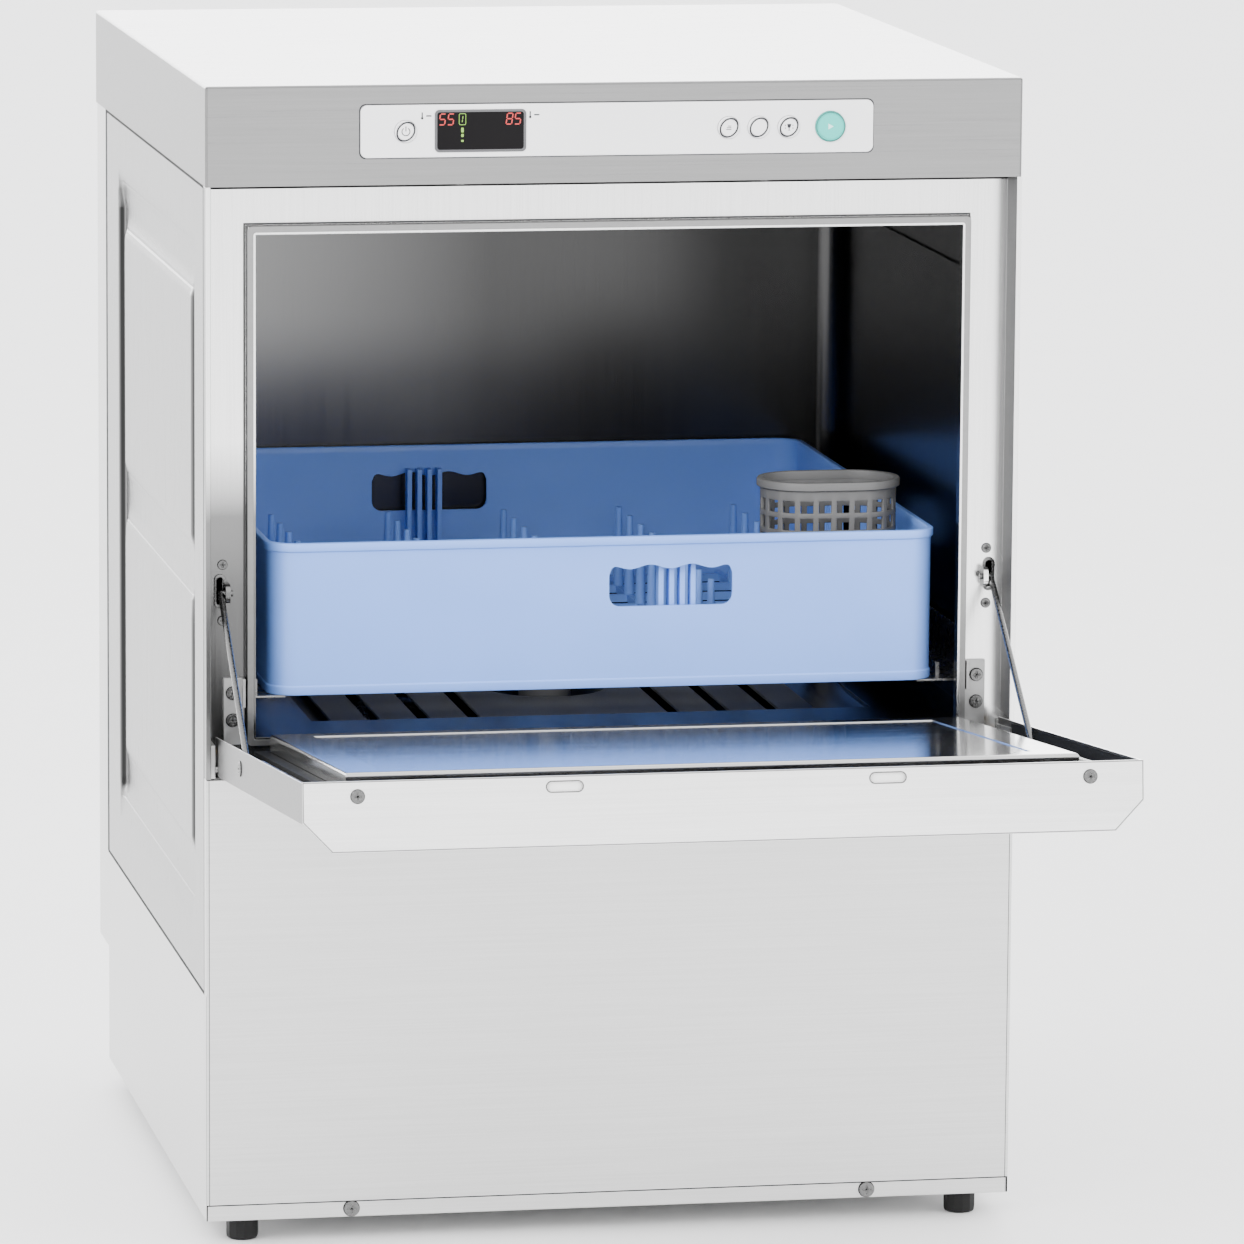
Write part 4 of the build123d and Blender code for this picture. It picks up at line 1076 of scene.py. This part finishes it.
def cutlery_cup():
    """Oval basket of square mesh with a plain rim and base band."""
    low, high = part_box("cutlery_holder")
    centre = Vector(((low.x + high.x) / 2, (low.y + high.y) / 2, 0))
    straight = (high.x - low.x - (high.y - low.y)) / 2
    radius = (high.y - low.y) / 2 - 4.2 * MM
    rib = 0.30
    hole_steps, rib_steps = 3, 2
    shares, solid = [], []
    for column in range(CUP_COLUMNS):
        for k in range(rib_steps):
            shares.append((column + rib * k / rib_steps) / CUP_COLUMNS)
            solid.append(True)
        for k in range(hole_steps):
            shares.append((column + rib + (1 - rib) * k / hole_steps) / CUP_COLUMNS)
            solid.append(False)
    band = 0.010
    pitch = (high.z - low.z - 2 * band) / CUP_ROWS
    heights, bars = [low.z, low.z + band], [True]
    for row in range(CUP_ROWS):
        base = low.z + band + row * pitch
        heights += [base + pitch * (1 - rib), base + pitch]
        bars += [False, True]
    heights[-1] = high.z - 0.001
    count = len(shares)
    vertices = [oval_point(centre, straight, radius, share, z) for z in heights for share in shares]
    faces = []
    for row, bar in enumerate(bars):
        for k in range(count):
            if bar or solid[k]:
                n = (k + 1) % count
                start, after = row * count, (row + 1) * count
                faces.append((start + k, start + n, after + n, after + k))
    start = len(vertices)
    vertices += [oval_point(centre, straight, radius - 0.2 * MM, share, low.z + 1.2 * MM)
                 for share in shares]
    faces.append(tuple(range(start, start + count)))
    mesh = new_mesh("cutlery_basket", (vertices, faces))
    solidify = {"thickness": 0.0024, "offset": 0.0, "use_even_offset": True}
    soften = {"width": 0.0005, "segments": 2, "limit_method": "ANGLE"}
    mesh = with_modifiers(mesh, ("SOLIDIFY", solidify), ("BEVEL", soften))
    look = ("grey_plastic", "cutlery_cup", "grey_plastic")
    basket = mesh_piece("cutlery_basket", mesh, *look, sharp=35)
    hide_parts("cutlery_holder")
    profile = [(-1.4, -6.5), (2.6, -6.5), (3.9, -5.6), (4.0, -1.2), (3.2, 0.0), (-1.0, 0.0),
               (-1.6, -1.0)]
    rim = [oval_point(centre, straight, radius + out * MM, share, high.z + down * MM)
           for out, down in profile for share in shares]
    rim_shape = (rim, bands(len(profile), count, closed=True))
    piece("cutlery_rim", rim_shape, *look, sharp=50)


# ---- feet
def feet():
    """Moulded feet with twelve flat sides, a chamfered sole and a threaded neck."""
    foot = [(8.6, 0.0), (10.6, 0.5), (11.6, 1.8), (11.9, 4.0), (11.9, 15.0), (11.5, 15.6),
            (9.8, 15.8), (9.8, 18.9)]
    thread = [(5.0 - 0.5 * (k % 2), 18.9 + k * 0.9) for k in range(28)]
    shapes = []
    for low, high in islands("feet"):
        place = Vector(((low.x + high.x) / 2, (low.y + high.y) / 2, low.z))
        for profile, steps in ((foot, 12), (thread, 24)):
            turned = [(r * MM, h * MM) for r, h in profile]
            shapes.append(lathe(turned, place, UP, steps, BACK))
    look = ("black_plastic", "cabinet", "black_plastic")
    made = piece("feet_moulded", joined(*shapes), *look, sharp=20)
    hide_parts("feet")


# ---- stage and light
def world_light():
    """Studio surround: bright behind the object and grey in front of it."""
    world = bpy.data.worlds.new("studio")
    bpy.context.scene.world = world
    world.use_nodes = True
    place = shader_node(world, "TexCoord", {})
    split = shader_node(world, "SeparateXYZ", {"Vector": place.outputs["Generated"]})
    ahead = ramp(world, split.outputs["Y"], 0.0, 1.0, -1.0, 1.0)
    colours = shader_node(world, "ValToRGB", {"Fac": ahead})
    shades = ((0.05, 0.23), (0.45, 0.22), (0.88, 0.34), (0.97, 1.0))
    elements = colours.color_ramp.elements
    while len(elements) < len(shades):
        elements.new(0.5)
    for element, (position, shade) in zip(elements, shades):
        element.position = position
        element.color = (shade, shade, shade * 1.01, 1)
    surround = world.node_tree.nodes["Background"].inputs
    feed(world, colours.outputs["Color"], surround["Color"])
    surround["Strength"].default_value = 11.5


def area_light(name, place, target, size, power):
    """Soft rectangular light aimed at a point."""
    data = bpy.data.lights.new(name, "AREA")
    data.shape = "RECTANGLE"
    data.size, data.size_y = size
    data.energy = power
    made = bpy.data.objects.new(name, data)
    made.location = place
    made.rotation_euler = (Vector(target) - Vector(place)).to_track_quat("-Z", "Y").to_euler()
    bpy.context.scene.collection.objects.link(made)


def stage_and_lights():
    """Plain pale floor, a soft key light, a fill and the surround."""
    reach = 40.0
    corners = [(-reach, -reach, 0), (reach, -reach, 0), (reach, reach, 0), (-reach, reach, 0)]
    mesh = new_mesh("floor", (corners, [(0, 1, 2, 3)]))
    mesh.materials.append(plastic("Floor_pale", (0.90, 0.90, 0.90), 0.75, 40.0, 0.01, vary=0.005))
    floor = bpy.data.objects.new("floor", mesh)
    bpy.context.scene.collection.objects.link(floor)
    area_light("key", (-2.6, -3.4, 3.0), (0, 0, 0.5), (2.2, 2.2), 185)
    area_light("fill", (2.8, -3.0, 2.2), (0, 0, 0.4), (2.0, 2.0), 75)
    world_light()


def camera():
    """The camera at the viewing angle."""
    forward = Vector((
        math.sin(CAMERA_YAW) * math.cos(CAMERA_PITCH),
        math.cos(CAMERA_YAW) * math.cos(CAMERA_PITCH),
        -math.sin(CAMERA_PITCH),
    ))
    level = Vector((math.cos(CAMERA_YAW), -math.sin(CAMERA_YAW), 0))
    upright = level.cross(forward)
    right = level * math.cos(CAMERA_ROLL) + upright * math.sin(CAMERA_ROLL)
    up = upright * math.cos(CAMERA_ROLL) - level * math.sin(CAMERA_ROLL)
    data = bpy.data.cameras.new("camera")
    data.sensor_width = 36.0
    data.lens = CAMERA_LENS
    data.clip_end = 200.0
    made = bpy.data.objects.new("camera", data)
    turn = Matrix((right, up, -forward)).transposed().to_4x4()
    made.matrix_world = Matrix.Translation(CAMERA_PLACE) @ turn
    bpy.context.scene.collection.objects.link(made)
    bpy.context.scene.camera = made


camera()
stage_and_lights()
finish_nodes()
side_skin("side_skin_left", "side_panel_left", -1)
side_skin("side_skin_right", "side_panel_right", 1)
display_marks()
control_marks()
all_screws()
slot_rims()
lip_slot_rims()
lip_dishes()
mouth_line()
mouth_painted_reflection()
jamb_shade_strips()
catch_rollers()
seams()
lip_edges()
door_cavity()
pocket_screws()
spring_coil("left")
spring_coil("right")
rack_shell()
cutlery_cup()
feet()
